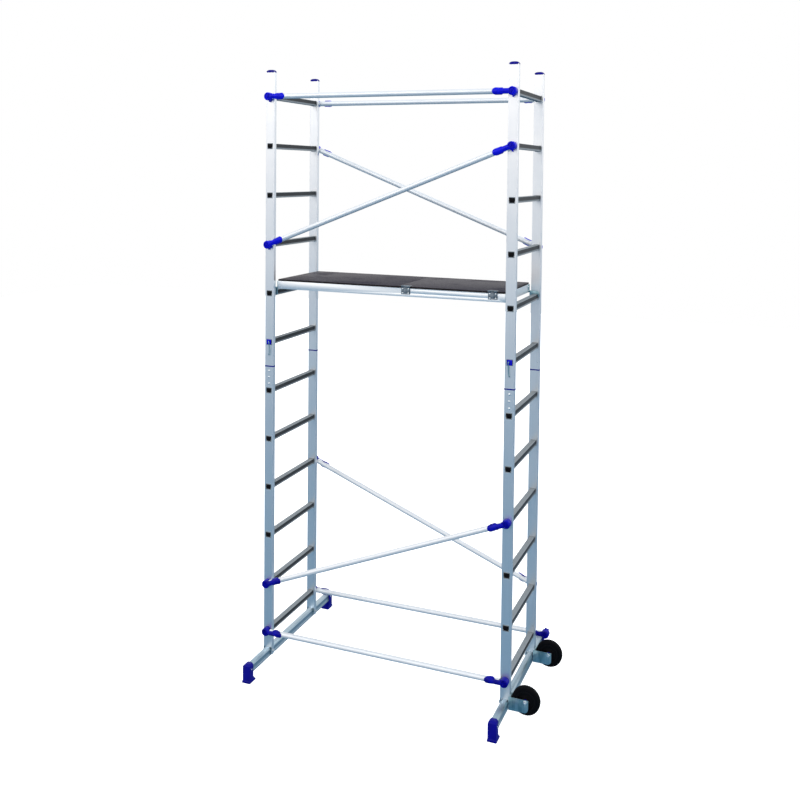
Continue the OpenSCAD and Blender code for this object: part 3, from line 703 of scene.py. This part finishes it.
def prism(outline: np.ndarray, levels: Sequence[Pair]) -> np.ndarray:
    """Rings of an outline at several heights.

    Args:
        outline: Points (x, y).
        levels: Pairs of height and scale of the outline.

    Returns:
        Rings for Shell.loft.
    """
    return np.stack(
        [np.column_stack([outline * s, np.full(len(outline), z)]) for z, s in levels]
    )


def domed_disc(
    shell: Shell,
    radius: float,
    low: float,
    top: float,
    dome: float,
    edge: float,
    relief: Callable[[np.ndarray, np.ndarray], np.ndarray] | None = None,
    steps: int = 72,
    rings: int = 18,
) -> None:
    """Adds a disc with a rounded rim and a domed, embossed top.

    Args:
        shell: Mesh that takes the disc.
        radius: Radius of the disc.
        low: Height of the flat underside.
        top: Height of the rim before rounding.
        dome: Rise of the middle above the rim.
        edge: Radius of the rounded rim.
        relief: Takes radius fraction and angle grids, gives added height.
        steps: Steps round the disc.
        rings: Rings over the top.
    """
    a = np.linspace(0.0, 2.0 * math.pi, steps, endpoint=False)[None, :]
    flat = radius - edge
    rim = np.vstack([[radius, low], arc(flat, top - edge, edge, 0.0, 90.0, 6)])
    f = np.linspace(1.0, 0.02, rings)[1:, None]
    added = 0.0 if relief is None else relief(*np.broadcast_arrays(f, a))
    crown = np.broadcast_to(top + dome * (1.0 - f * f) + added, (len(f), steps))
    r = np.vstack([rim[:, :1], flat * f])
    z = np.vstack([np.repeat(rim[:, 1:], steps, axis=1), crown])
    shell.loft(np.stack([r * np.cos(a), r * np.sin(a), z], -1))


def smooth_path(points: Sequence[Sequence[float]], steps: int) -> np.ndarray:
    """Catmull-Rom curve: a cubic between each two points, level with their neighbours.

    Args:
        points: Points that the curve passes.
        steps: Steps between each two of them.

    Returns:
        The curve's points.
    """
    p = np.asarray(points, float)
    p = np.vstack([2 * p[0] - p[1], p, 2 * p[-1] - p[-2]])
    t = np.linspace(0.0, 1.0, steps, endpoint=False)[:, None]
    parts = [
        0.5 * (2 * b + (c - a) * t + (2 * a - 5 * b + 4 * c - d) * t**2)
        + 0.5 * (3 * b - a - 3 * c + d) * t**3
        for a, b, c, d in zip(p, p[1:], p[2:], p[3:])
    ]
    return np.vstack([*parts, p[-2:-1]])


def swept(shell: Shell, path: np.ndarray, radius: float, sides: int = 14) -> None:
    """Adds a round wire along a path: circles square to it that don't twist.

    Args:
        shell: Mesh that takes the wire.
        path: Points along the wire's middle.
        radius: Radius of the wire.
        sides: Points round it.
    """
    tangent = np.gradient(path, axis=0)
    tangent /= np.linalg.norm(tangent, axis=1)[:, None]
    normal = np.cross(tangent[0], (0.3, 0.9, 0.1))
    angle = np.linspace(0.0, 2.0 * math.pi, sides, endpoint=False)
    rings = []
    for point, t in zip(path, tangent):
        normal = normal - t * np.dot(normal, t)
        normal /= np.linalg.norm(normal)
        across = np.cross(t, normal)
        rings.append(
            point + radius * (np.cos(angle)[:, None] * normal + np.sin(angle)[:, None] * across)
        )
    shell.loft(np.stack(rings))


# ---------------- pieces


@dataclass(frozen=True)
class Piece:
    """A closed mesh in the tower's frame that stands for one CAD node."""

    node: str = ""
    name: str = ""
    smooth: float = 35.0

    def shape(self, shell: Shell) -> None:
        """Adds the piece's surfaces to a shell."""
        raise NotImplementedError

    def build(self) -> bpy.types.Object:
        """Makes the piece's object."""
        shell = Shell()
        self.shape(shell)
        return shell.object(self.name, self.smooth)


@dataclass(frozen=True)
class Rounded(Piece):
    """Copy of a CAD node with its sharp edges rounded. Angles are in degrees."""

    smooth: float = 40.0
    radius: float = 0.0008
    sharp: float = 30.0
    flat: float = 0.5
    weld: float = 2e-6
    speck: float = 1e-7

    @classmethod
    def of(cls, node: str, radius: float) -> "Rounded":
        """A node's copy with edges of a radius, named after the node."""
        return cls(node, node + "_rounded", radius=radius)

    def build(self) -> bpy.types.Object:
        """Welds the node's mesh and bevels its sharp edges.

        Returns:
            The rounded object, with sharp edges where a bevel would open the mesh.
        """
        bm = bmesh.new()
        bm.from_mesh(frame["nodes"][self.node].data)
        bmesh.ops.remove_doubles(bm, verts=bm.verts, dist=self.weld)
        bmesh.ops.dissolve_limit(
            bm, angle_limit=math.radians(self.flat), verts=bm.verts, edges=bm.edges
        )
        plain = bm.copy()
        limit = math.radians(self.sharp)
        edges = [e for e in bm.edges if e.is_manifold and e.calc_face_angle(0.0) > limit]
        bmesh.ops.bevel(
            bm, geom=edges, offset=self.radius, offset_type="OFFSET", segments=2,
            profile=0.5, affect="EDGES", clamp_overlap=True,
        )
        bmesh.ops.dissolve_degenerate(bm, edges=bm.edges, dist=self.speck)
        if not all(e.is_manifold for e in bm.edges):
            log.warning("%s keeps its sharp edges", self.node)
            bm, plain = plain, bm
        mesh = bpy.data.meshes.new(self.name)
        bmesh.ops.triangulate(bm, faces=bm.faces)
        bm.to_mesh(mesh)
        bm.free()
        plain.free()
        return finished(self.name, mesh, self.smooth)


@dataclass(frozen=True)
class Clips(Piece):
    """Both clips of one brace: round heads, spoons over the tube and plugs in the rungs.

    A brace runs from a rung of the left frame to one of the right frame, or past it
    by an extra length. Angles are in degrees.
    """

    side: Side = Side.FRONT
    left: int = 0
    right: int = 0
    extra: float = 0.0
    free_swing: float = 0.15
    head_r: float = 0.023
    head_top: float = 0.0345
    base: float = 0.002
    neck: Pair = (0.012, 0.05)
    reach: float = 0.106
    narrow: float = 46.0
    wide: float = 98.0
    widens: Pair = (0.044, 0.018)
    tail: float = 0.032
    tail_cut: float = 0.88
    skin: float = 0.0034
    belly: Point = (0.0028, 0.082, 0.018)
    bead: float = 0.0008
    spine_r: float = 0.0016
    plug: float = 0.028
    tooth: float = 0.0045

    @classmethod
    def of(cls, side: Side, brace: str, left: int, right: int, extra: float = 0.0) -> "Clips":
        """The clips of a brace, named after their node."""
        node = f"{side.word}_{brace}_clips"
        return cls(node, node + "_moulded", side=side, left=left, right=right, extra=extra)

    @property
    def run(self) -> tuple[float, float]:
        """The brace's length along X and its rise."""
        return TOWER.span + self.extra, (self.right - self.left) * TOWER.pitch

    @property
    def tilt(self) -> float:
        """Angle above the horizontal, left to right, in radians."""
        return math.atan2(self.run[1], self.run[0])

    @property
    def swing(self) -> float:
        """Angle by which an overlong brace swings clear of the stile, in radians."""
        return math.radians(self.free_swing) if self.extra else 0.0

    @staticmethod
    def swung(at: Matrix, angle: float, turn: Matrix | None = None) -> Matrix:
        """A placement swung in plan, and then turned, about the tube's axis at the head.

        Args:
            at: Placement of the clip before the swing.
            angle: Swing in radians.
            turn: Turn about the tube's own axis.

        Returns:
            The new placement.
        """
        to_axis = Matrix.Translation((0.0, 0.0, TOWER.brace_off))
        back = Matrix.Translation((0.0, 0.0, -TOWER.brace_off))
        turn = Matrix.Identity(4) if turn is None else turn
        return at @ to_axis @ Matrix.Rotation(angle, 4, "Y") @ turn @ back

    def places(self) -> list[tuple[Matrix, Matrix]]:
        """Placements of each clip's arm, which follows the tilt, and plug, which doesn't.

        Returns:
            One pair for each clip. A clip past the right frame is in no rung: it is
            turned half round on its tube.
        """
        side = self.side
        y = side.value * TOWER.depth / 2
        x, z = TOWER.frame_x(End.LEFT), TOWER.rung_z(self.left)
        arm = self.swung(placed(x, y, z, side, End.LEFT, self.tilt), -self.swing)
        left = (arm, placed(x, y, z, side, End.LEFT))
        x, z = TOWER.frame_x(End.RIGHT) + self.extra, TOWER.rung_z(self.right)
        if not self.extra:
            arm = placed(x, y, z, side, End.RIGHT, self.tilt)
            return [left, (arm, placed(x, y, z, side, End.RIGHT))]
        y += side.value * math.hypot(*self.run) * math.sin(self.swing)
        half_turn = Matrix.Rotation(math.pi, 4, "X")
        free = self.swung(placed(x, y, z, side, End.RIGHT), self.swing, half_turn)
        return [left, (free, free)]

    @staticmethod
    def star(f: np.ndarray, a: np.ndarray) -> np.ndarray:
        """Relief of a head: six raised rays between two raised circles.

        Args:
            f: Fraction of the head's radius.
            a: Angle in radians.

        Returns:
            Added height in metres, with deep pockets between the rays.
        """
        ray = np.clip((np.cos(6.0 * a) - 0.55) * 5.0, 0.0, 1.0)
        ray *= np.clip((f - 0.2) * 12.0, 0.0, 1.0) * np.clip((0.82 - f) * 12.0, 0.0, 1.0)
        boss = np.clip((0.22 - f) * 14.0, 0.0, 1.0)
        rim = np.clip((0.06 - abs(f - 0.9)) * 30.0, 0.0, 1.0)
        raised = np.maximum(ray, np.maximum(boss, rim))
        return 0.0008 * raised - 0.0036 * (1.0 - raised) * np.clip((0.86 - f) * 12.0, 0.0, 1.0)

    def arm(self) -> Shell:
        """A clip's head, spoon and spine.

        The spoon is a wall round the tube. Its half angle grows smoothly from narrow
        to wide and shrinks at the tail as the arcsine of an ellipse, and its outside
        swells as a bell curve.

        Returns:
            The mesh in the clip's own frame.
        """
        shell = Shell()
        domed_disc(shell, self.head_r, self.base, self.head_top, 0.001, 0.004, self.star)
        u = np.concatenate(
            [np.linspace(*self.neck, 10), np.linspace(self.neck[1] + 0.002, self.reach, 26)]
        )
        narrow, wide = math.radians(self.narrow), math.radians(self.wide)
        grow = np.clip((u - self.widens[0]) / self.widens[1], 0.0, 1.0)
        half = narrow + (wide - narrow) * grow * grow * (3.0 - 2.0 * grow)
        tail = np.clip((u - (self.reach - self.tail)) / self.tail, 0.0, 1.0)
        half = half * np.arcsin(np.sqrt(1.0 - self.tail_cut * tail**2)) / (math.pi / 2)
        step = np.linspace(-1.0, 1.0, 25)
        angle = half[:, None] * step[None, :]
        swell, middle, spread = self.belly
        belly = swell * np.exp(-(((u - middle) / spread) ** 2))[:, None]
        bead = self.bead * np.clip((np.abs(step) - 0.86) * 12.0, 0.0, 1.0)[None, :]
        outer_face = np.clip(np.cos(angle) * 1.6, 0.0, 1.0)
        r_in = TOWER.brace_r + 0.0002
        r_out = TOWER.brace_r + self.skin + belly * outer_face + bead
        thin = np.clip((self.reach - u) / 0.006, 0.35, 1.0)[:, None]
        r_out = r_in + (r_out - r_in) * thin

        def bent(r: np.ndarray | float) -> np.ndarray:
            """Grid of points at a radius round the tube."""
            r = np.broadcast_to(r, angle.shape)
            along = np.broadcast_to(u[:, None], angle.shape)
            return np.stack([along, r * np.sin(angle), TOWER.brace_off + r * np.cos(angle)], -1)

        shell.sheet(bent(r_out), bent(r_in))
        spine = [(0.016, 0.0, 0.0352), (0.05, 0.0, 0.0362), (0.078, 0.0, 0.0355)]
        swept(shell, smooth_path(spine, 8), self.spine_r, 8)
        return shell

    def foot(self) -> Shell:
        """A clip's square plug with tapered tip, and the release tooth beside the head."""
        shell = Shell()
        square = rounded_square(TOWER.rung_bore / 2 - 0.0003, 0.0025)
        tip = -self.plug
        shell.loft(prism(square, [(tip, 0.82), (tip + 0.003, 0.97), (-0.02, 1.0), (0.003, 1.0)]))
        levels = [(self.base, 0.9), (0.0035, 1.0), (0.009, 1.0), (0.0105, 0.8)]
        rings = prism(rounded_square(self.tooth, 0.0012), levels)
        rings[..., 1] -= self.head_r + 0.0022
        shell.loft(rings)
        return shell

    def shape(self, shell: Shell) -> None:
        """Adds both clips."""
        arm, foot = self.arm(), self.foot()
        for arm_at, foot_at in self.places():
            shell.put(arm, arm_at)
            shell.put(foot, foot_at)


@dataclass(frozen=True)
class PinWire(Piece):
    """A lock pin's bent wire: out of the plug, over, down and into the joint hole."""

    side: Side = Side.FRONT
    end: End = End.LEFT
    sway: float = 0.0055
    drop: float = 0.074
    wire_r: float = 0.0025

    @classmethod
    def of(cls, side: Side, end: End) -> "PinWire":
        """The wire of one stile's pin. Each hangs with its own sway."""
        place = f"{side.word}_{end.word}"
        sway = -0.004 if end is End.RIGHT else 0.0055
        return cls(f"{place}_pin_wire", f"{place}_bent_wire", side=side, end=end, sway=sway)

    def shape(self, shell: Shell) -> None:
        """Adds the wire along a smooth curve, from the plug down to the joint hole."""
        s, down = self.sway, -self.drop
        route = [
            (0.0, 0.0, -0.004), (0.0, 0.0005, 0.004), (0.2 * s, 0.003, 0.0095),
            (0.55 * s, 0.0045, 0.0128), (0.9 * s, 0.001, 0.0145), (1.1 * s, -0.008, 0.0136),
            (1.15 * s, -0.022, 0.0105), (1.0 * s, -0.045, 0.0085), (0.8 * s, -0.061, 0.008),
            (0.4 * s, down + 0.005, 0.0078), (0.1 * s, down + 0.0005, 0.0058),
            (0.0, down, 0.002), (0.0, down, -0.0065),
        ]
        wire = Shell()
        swept(wire, smooth_path(route, 10), self.wire_r)
        y = self.side.value * TOWER.depth / 2
        z = TOWER.rung_z(TOWER.pin_rung)
        shell.put(wire, placed(TOWER.frame_x(self.end), y, z, self.side))


@dataclass(frozen=True)
class Tyre(Piece):
    """A solid tyre with rounded shoulders, two grooves and notched edges."""

    smooth: float = 28.0
    side: Side = Side.FRONT
    radius: float = 0.075
    width: float = 0.036
    bore_r: float = 0.052
    notches: int = 48
    notch_steps: int = 6
    notch_depth: float = 0.0017

    @classmethod
    def of(cls, side: Side) -> "Tyre":
        """The tyre of one wheel."""
        return cls(f"{side.word}_tyre", f"{side.word}_tyre_treaded", side=side)

    def tread(self, radius: np.ndarray, z: np.ndarray, a: np.ndarray) -> np.ndarray:
        """Radii with notches in the shoulders, half a step apart on the two sides.

        Args:
            radius: Radii of the plain tyre.
            z: Distances from its middle plane.
            a: Angles in radians.

        Returns:
            The new radii.
        """
        per = self.notch_steps
        turn = np.rint(a / (2.0 * math.pi) * self.notches * per).astype(int)
        cut = np.isin((turn + np.where(z > 0, per // 2, 0)) % per, (0, 1))
        shoulder = (np.abs(z) > 0.0079) & (radius > self.radius - 0.0045)
        return radius - self.notch_depth * (cut & shoulder)

    def shape(self, shell: Shell) -> None:
        """Adds a half profile and its mirror image, turned about the axle."""
        w, r, inner = self.width / 2, self.radius, self.bore_r
        half = [
            (inner, 0.0), (inner, w - 0.0015), (inner + 0.0015, w), (r - 0.014, w),
            (r - 0.0125, w - 0.0008), (r - 0.011, w), (r - 0.008, w - 0.0002),
            (r - 0.0042, w - 0.0014), (r - 0.0015, w - 0.004), (r - 0.0003, w - 0.0075),
            (r, 0.0082), (r - 0.0016, 0.0072), (r - 0.0016, 0.005), (r, 0.004),
        ]
        profile = np.array(half + [(a, -b) for a, b in half[:0:-1]])
        tyre = Shell()
        tyre.ring(profile, self.notches * self.notch_steps, self.tread)
        at = Matrix.Rotation(math.radians(90.0), 4, "X")
        at.translation = (TOWER.axle_x, self.side.value * TOWER.wheel_y, TOWER.axle_z)
        shell.put(tyre, at)


@dataclass(frozen=True)
class Gaskets(Piece):
    """Gaskets of the section joint: a flat ring with a lip round both stiles."""

    node: str = "joint_gaskets"
    name: str = "joint_gaskets_lipped"
    flat: float = 0.0015
    lip: float = 0.0034
    lip_edge: float = 0.0026
    corner: float = 0.003

    def shape(self, shell: Shell) -> None:
        """Adds a T-shaped profile carried round each stile's outline."""
        flat, lip, edge = self.flat, self.lip, self.lip_edge
        lower = [(-0.002, -flat), (0.0001, -flat), (0.0001, -lip), (0.0009, -lip), (0.0014, -edge)]
        profile = lower + [(grow, -z) for grow, z in lower[::-1]]
        for end, side in CORNERS:
            middle = (TOWER.frame_x(end), side.value * TOWER.stile_y)
            rows = []
            for grow, z in profile:
                outline = middle + rounded_rect(
                    TOWER.stile_w / 2 + grow, TOWER.stile_d / 2 + grow, self.corner + grow
                )
                rows.append(np.column_stack([outline, np.full(len(outline), TOWER.joint_z + z)]))
            shell.closed(np.stack(rows))


@dataclass(frozen=True)
class Fasteners(Piece):
    """Equal fasteners in one mesh."""

    def one(self) -> Shell:
        """One fastener, its head towards local Z."""
        raise NotImplementedError

    def places(self) -> Iterable[Matrix]:
        """Placement of each fastener."""
        raise NotImplementedError

    def shape(self, shell: Shell) -> None:
        """Adds the fastener at each of its places."""
        one = self.one()
        for at in self.places():
            shell.put(one, at)


@dataclass(frozen=True)
class SpigotRivets(Fasteners):
    """Three domed rivets through each stile into its spigot."""

    node: str = "spigot_rivets"
    name: str = "spigot_rivet_heads"
    head_r: float = 0.0058
    shank_r: float = 0.0024
    spacing: float = 0.037
    steps: tuple[float, ...] = (0.7, 1.7, 2.7)

    def one(self) -> Shell:
        """A domed head and a shank."""
        shell = Shell()
        domed_disc(shell, self.head_r, 0.0, 0.0008, 0.0032, 0.0007, None, 48, 12)
        levels = [(-0.0055, 0.9), (-0.005, 1.0), (0.0005, 1.0)]
        shell.loft(prism(circle(self.shank_r, 24), levels))
        return shell

    def places(self) -> Iterable[Matrix]:
        """Down each stile's outer face, below the joint."""
        y = TOWER.depth / 2 + 0.0001
        for end, side in CORNERS:
            for step in self.steps:
                z = TOWER.joint_z - self.spacing * step
                yield placed(TOWER.frame_x(end), side.value * y, z, side)


@dataclass(frozen=True)
class FootScrews(Fasteners):
    """Pan head screws with cross recesses, on both sides of each foot."""

    node: str = "foot_screws"
    name: str = "foot_screw_heads"
    head_r: float = 0.0045
    out: float = 0.023
    y: float = 0.501
    z: float = 0.073

    @staticmethod
    def cross(f: np.ndarray, a: np.ndarray) -> np.ndarray:
        """Height of a cross recess, from radius fraction and angle."""
        slot = np.minimum(np.abs(f * np.sin(a)), np.abs(f * np.cos(a))) < 0.16
        return np.where(slot & (f < 0.62), -0.0009, 0.0)

    def one(self) -> Shell:
        """A head and its shank in one."""
        shell = Shell()
        domed_disc(shell, self.head_r, -0.0075, 0.0016, 0.0006, 0.0009, self.cross, 64, 12)
        return shell

    def places(self) -> Iterable[Matrix]:
        """Left and right of each foot."""
        for end, side in CORNERS:
            for face in (-1.0, 1.0):
                at = Matrix(((0, 0, face), (0, 1, 0), (-face, 0, 0))).to_4x4()
                x = TOWER.frame_x(end) + face * self.out
                at.translation = (x, side.value * self.y, self.z)
                yield at


@dataclass(frozen=True)
class AxleBolts(Fasteners):
    """Axle bolts with domed socket heads, through both plates of a wheel bracket."""

    node: str = "axle_bolts"
    name: str = "axle_bolt_set"
    head_r: float = 0.0095
    shank_r: float = 0.006
    plate_y: float = 0.026
    past: float = 0.008

    @staticmethod
    def socket(f: np.ndarray, a: np.ndarray) -> np.ndarray:
        """Height of a hexagon socket, from radius fraction and angle."""
        flat = f * np.cos((a + math.pi / 6.0) % (math.pi / 3.0) - math.pi / 6.0)
        return np.where(flat < 0.42, -0.0025, 0.0)

    def one(self) -> Shell:
        """A head and a shank with a chamfered end."""
        shell = Shell()
        domed_disc(shell, self.head_r, 0.0, 0.0045, 0.0008, 0.0015, self.socket, 96, 24)
        end = -(2 * self.plate_y + self.past)
        shell.loft(prism(circle(self.shank_r, 40), [(0.001, 1.0), (end + 0.001, 1.0), (end, 0.88)]))
        return shell

    def places(self) -> Iterable[Matrix]:
        """On the outer plate of each bracket."""
        for side in Side:
            at = Matrix(((1, 0, 0), (0, 0, side.value), (0, 1, 0))).to_4x4()
            y = side.value * (TOWER.wheel_y + self.plate_y)
            at.translation = (TOWER.axle_x, y, TOWER.axle_z)
            yield at


@dataclass(frozen=True)
class Caps(Piece):
    """Domed plastic caps on the stiles, with superellipse outlines."""

    node: str = "stile_caps"
    name: str = "stile_caps_domed"
    smooth: float = 40.0
    half_x: float = 0.028
    half_y: float = 0.013
    dome: float = 0.0128
    power: float = 0.3
    sides: int = 64

    def shape(self, shell: Shell) -> None:
        """Adds the caps: rows of height and scales for plug, skirt and sine dome."""
        a = np.linspace(0.0, 2.0 * math.pi, self.sides, endpoint=False)
        sx, sy = (np.sign(v) * np.abs(v) ** self.power for v in (np.cos(a), np.sin(a)))
        plug, inside, full = (0.83, 0.74), (0.986, 0.972), (1.0, 1.0)
        rows = [(-0.018, *plug), (-0.0002, *plug), (-0.0002, *inside)]
        rows += [(-0.0035, *inside), (-0.0035, *full), (-0.0005, *full)]
        for t in np.linspace(0.0, 1.5, 12)[1:]:
            c = math.cos(t)
            rows.append((self.dome * math.sin(t), 0.06 + 0.94 * c**0.8, 0.1 + 0.9 * c**0.6))
        z, fx, fy = np.array(rows).T[:, :, None]
        for end, side in CORNERS:
            x = TOWER.frame_x(end) + self.half_x * fx * sx
            y = side.value * TOWER.stile_y + self.half_y * fy * sy
            shell.loft(np.stack([x, y, np.broadcast_to(TOWER.stile_top + z, x.shape)], -1))


# ---------------- scene


@dataclass(frozen=True)
class Studio:
    """Floor, lights and the camera that matches the photograph's view."""

    focal: float = 42.8
    sensor: float = 36.0
    shift_y: float = -0.239
    eye: Point = (1.92175, -5.034, 2.853)
    yaw: float = 21.88
    pitch: float = 2.18
    roll: float = 0.57
    aim: Point = (0.0, 0.0, 1.8)
    low_near: Colour = (0.11, 0.26, 0.4)
    high_near: Colour = (1.5, 1.38, 1.29)
    low_far: Colour = (0.2, 0.31, 0.42)
    high_far: Colour = (1.05, 1.04, 1.03)
    top_tone: Colour = (0.9, 0.95, 1.0)
    far_way: Pair = (0.37, 0.93)
    floor_tones: tuple = ((0.84, 0.85, 0.87), (0.88, 0.89, 0.9))
    floor_half: float = 14.0
    floor_glow: float = 0.75

    def camera(self) -> None:
        """Adds the camera: right, up and back axes from yaw, pitch and roll."""
        yaw, pitch, roll = (math.radians(v) for v in (self.yaw, self.pitch, self.roll))
        ahead = Vector(
            (-math.sin(yaw) * math.cos(pitch), math.cos(yaw) * math.cos(pitch), -math.sin(pitch))
        )
        right = Vector((math.cos(yaw), math.sin(yaw), 0.0))
        up = right.cross(ahead)
        right_r = right * math.cos(roll) + up * math.sin(roll)
        up_r = up * math.cos(roll) - right * math.sin(roll)
        data = bpy.data.cameras.new("camera")
        data.lens = self.focal
        data.sensor_width = self.sensor
        data.shift_y = self.shift_y
        data.clip_end = 60.0
        made = bpy.data.objects.new("camera", data)
        m = Matrix((right_r, up_r, -ahead)).transposed().to_4x4()
        m.translation = self.eye
        made.matrix_world = m
        bpy.context.scene.collection.objects.link(made)
        bpy.context.scene.camera = made

    def light(self, name: str, place: Sequence[float], size: float, power: float) -> None:
        """Adds a square area light aimed at the tower's middle.

        Args:
            name: Name of the light.
            place: Where it stands.
            size: Its side in metres.
            power: Its power in watts.
        """
        data = bpy.data.lights.new(name, "AREA")
        data.size = size
        data.energy = power
        made = bpy.data.objects.new(name, data)
        made.location = place
        way = Vector(self.aim) - Vector(place)
        made.rotation_euler = way.to_track_quat("-Z", "Y").to_euler()
        bpy.context.scene.collection.objects.link(made)

    def world(self) -> None:
        """Sets what the metal mirrors: pale above eye level and blue grey below.

        Both tones differ between the camera's side and the far side, and meet one
        even tone overhead. The camera itself sees plain white.
        """
        world = bpy.data.worlds.new("studio")
        bpy.context.scene.world = world
        world.use_nodes = True
        g = Graph(world.node_tree)
        way = g.out("ShaderNodeTexCoord", name="Generated")
        x, y, z = (g.axis(way, name) for name in "XYZ")
        behind = (self.far_way[0] * x + self.far_way[1] * y).ramp(0.2, 0.8)
        rise = z.ramp(-0.2, 0.08)
        near = g.mix(rise, self.low_near, self.high_near)
        far = g.mix(rise, self.low_far, self.high_far)
        around = g.mix(z.ramp(0.35, 0.75), g.mix(behind, near, far), self.top_tone)
        seen = g.out("ShaderNodeLightPath", name="Is Camera Ray")
        color = g.mix(seen, around, WHITE)
        back = g.out("ShaderNodeBackground", None, {"Color": color, "Strength": 1.0})
        g.node("ShaderNodeOutputWorld", None, {0: back})

    def floor(self) -> None:
        """Adds the pale floor. Only the camera sees it, so the metal mirrors the studio's tones."""
        shell = Shell()
        shell.loft(prism(rounded_square(self.floor_half, 1.0), [(-0.02, 1.0), (-0.0002, 1.0)]))
        made = shell.object("floor")
        material = bpy.data.materials.new("floor")
        material.use_nodes = True
        g = Graph(material.node_tree)
        seen = g.out("ShaderNodeLightPath", name="Is Camera Ray")
        tone = g.mix(g.noise(g.coords(), 3.0, 3.0, 0.5), *self.floor_tones)
        look = {"Base Color": tone, "Roughness": 0.8, "Specular IOR Level": 0.0}
        plain = g.out("ShaderNodeBsdfPrincipled", None, look)
        shine = {"Color": (*WHITE, 1.0), "Strength": self.floor_glow}
        glow = g.out("ShaderNodeEmission", None, shine)
        both = g.out("ShaderNodeAddShader", None, {0: plain, 1: glow})
        clear = g.out("ShaderNodeBsdfTransparent")
        mixed = g.out("ShaderNodeMixShader", None, {0: seen, 1: clear, 2: both})
        g.node("ShaderNodeOutputMaterial", None, {0: mixed})
        made.data.materials.append(material)

    def build(self) -> None:
        """Adds everything that isn't part of the tower."""
        self.camera()
        self.world()
        self.floor()
        self.light("key", (-3.0, -5.5, 6.0), 2.0, 70.0)
        self.light("fill", (5.5, -3.5, 4.5), 2.5, 30.0)
        self.light("back", (1.5, 5.0, 5.5), 2.0, 40.0)
        bpy.context.scene.view_settings.view_transform = "Standard"


class TowerLooks:
    """Gives every node and piece of the tower its finish and its place in the frame."""

    def __init__(self) -> None:
        """Makes the finishes and reads each node's slot and body from the record."""
        self.materials = {finish.name: finish.build() for finish in FINISHES}
        record = frame["record"]
        self.slot_of = {s["node"]: s["material_slot"] for s in record["subparts"]}
        bodies = record["behaviour"]["bodies"]
        self.body_of = {n: body for body, nodes in bodies.items() for n in nodes}

    def dress(self) -> None:
        """Puts each CAD node's finish in its material slot."""
        for name, node in frame["nodes"].items():
            node.data.materials.clear()
            node.data.materials.append(self.materials[self.slot_of[name]])

    def pieces(self) -> Iterable[Piece]:
        """Every piece that stands for a CAD node."""
        front, rear = Side.FRONT, Side.REAR
        yield Clips.of(front, "top", 11, 11)
        yield Clips.of(front, "upper", 8, 10)
        yield Clips.of(front, "lower", 1, 3)
        yield Clips.of(front, "bottom", 0, 0)
        yield Clips.of(rear, "top", 11, 11)
        yield Clips.of(rear, "upper", 10, 8)
        yield Clips.of(rear, "lower", 3, 1)
        yield Clips.of(rear, "bottom", 0, 0, TOWER.rear_extra)
        for side in Side:
            yield Tyre.of(side)
            yield Rounded.of(f"{side.word}_wheel_hub", 0.0012)
            for end in End:
                yield PinWire.of(side, end)
                yield Rounded.of(f"{side.word}_{end.word}_pin_plug", 0.0008)
        for node, radius in (
            ("feet", 0.0016), ("wheel_brackets", 0.0007), ("platform_hooks", 0.0008),
            ("hinge_plates", 0.0005), ("hatch_leaves", 0.0004), ("platform_rivets", 0.0009),
            ("saddle_bolts", 0.0006), ("lock_nuts", 0.0005), ("rung_end_plugs", 0.0008),
            ("hatch_panel", 0.0008), ("deck_panel", 0.0008), ("base_crossbars", 0.0006),
            ("platform_side_rails", 0.0012),
        ):
            yield Rounded.of(node, radius)
        for kind in (Gaskets, SpigotRivets, FootScrews, AxleBolts, Caps):
            yield kind()

    def stand_for(self, piece: bpy.types.Object, node: str) -> None:
        """Lets a piece stand for a CAD node: same body, same finish.

        Args:
            piece: The piece's object.
            node: Name of the CAD node.
        """
        slot = self.slot_of[node]
        piece.data.materials.append(self.materials[slot])
        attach(piece, self.body_of[node])
        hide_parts(node)
        log.info("%s stands for %s", piece.name, node)

    def build(self) -> None:
        """Adds all finishes and pieces."""
        self.dress()
        for piece in self.pieces():
            self.stand_for(piece.build(), piece.node)


def main() -> None:
    """Builds the looks and the studio."""
    logging.basicConfig(level=logging.INFO)
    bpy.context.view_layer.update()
    TowerLooks().build()
    Studio().build()


if __name__ == "__main__":
    main()
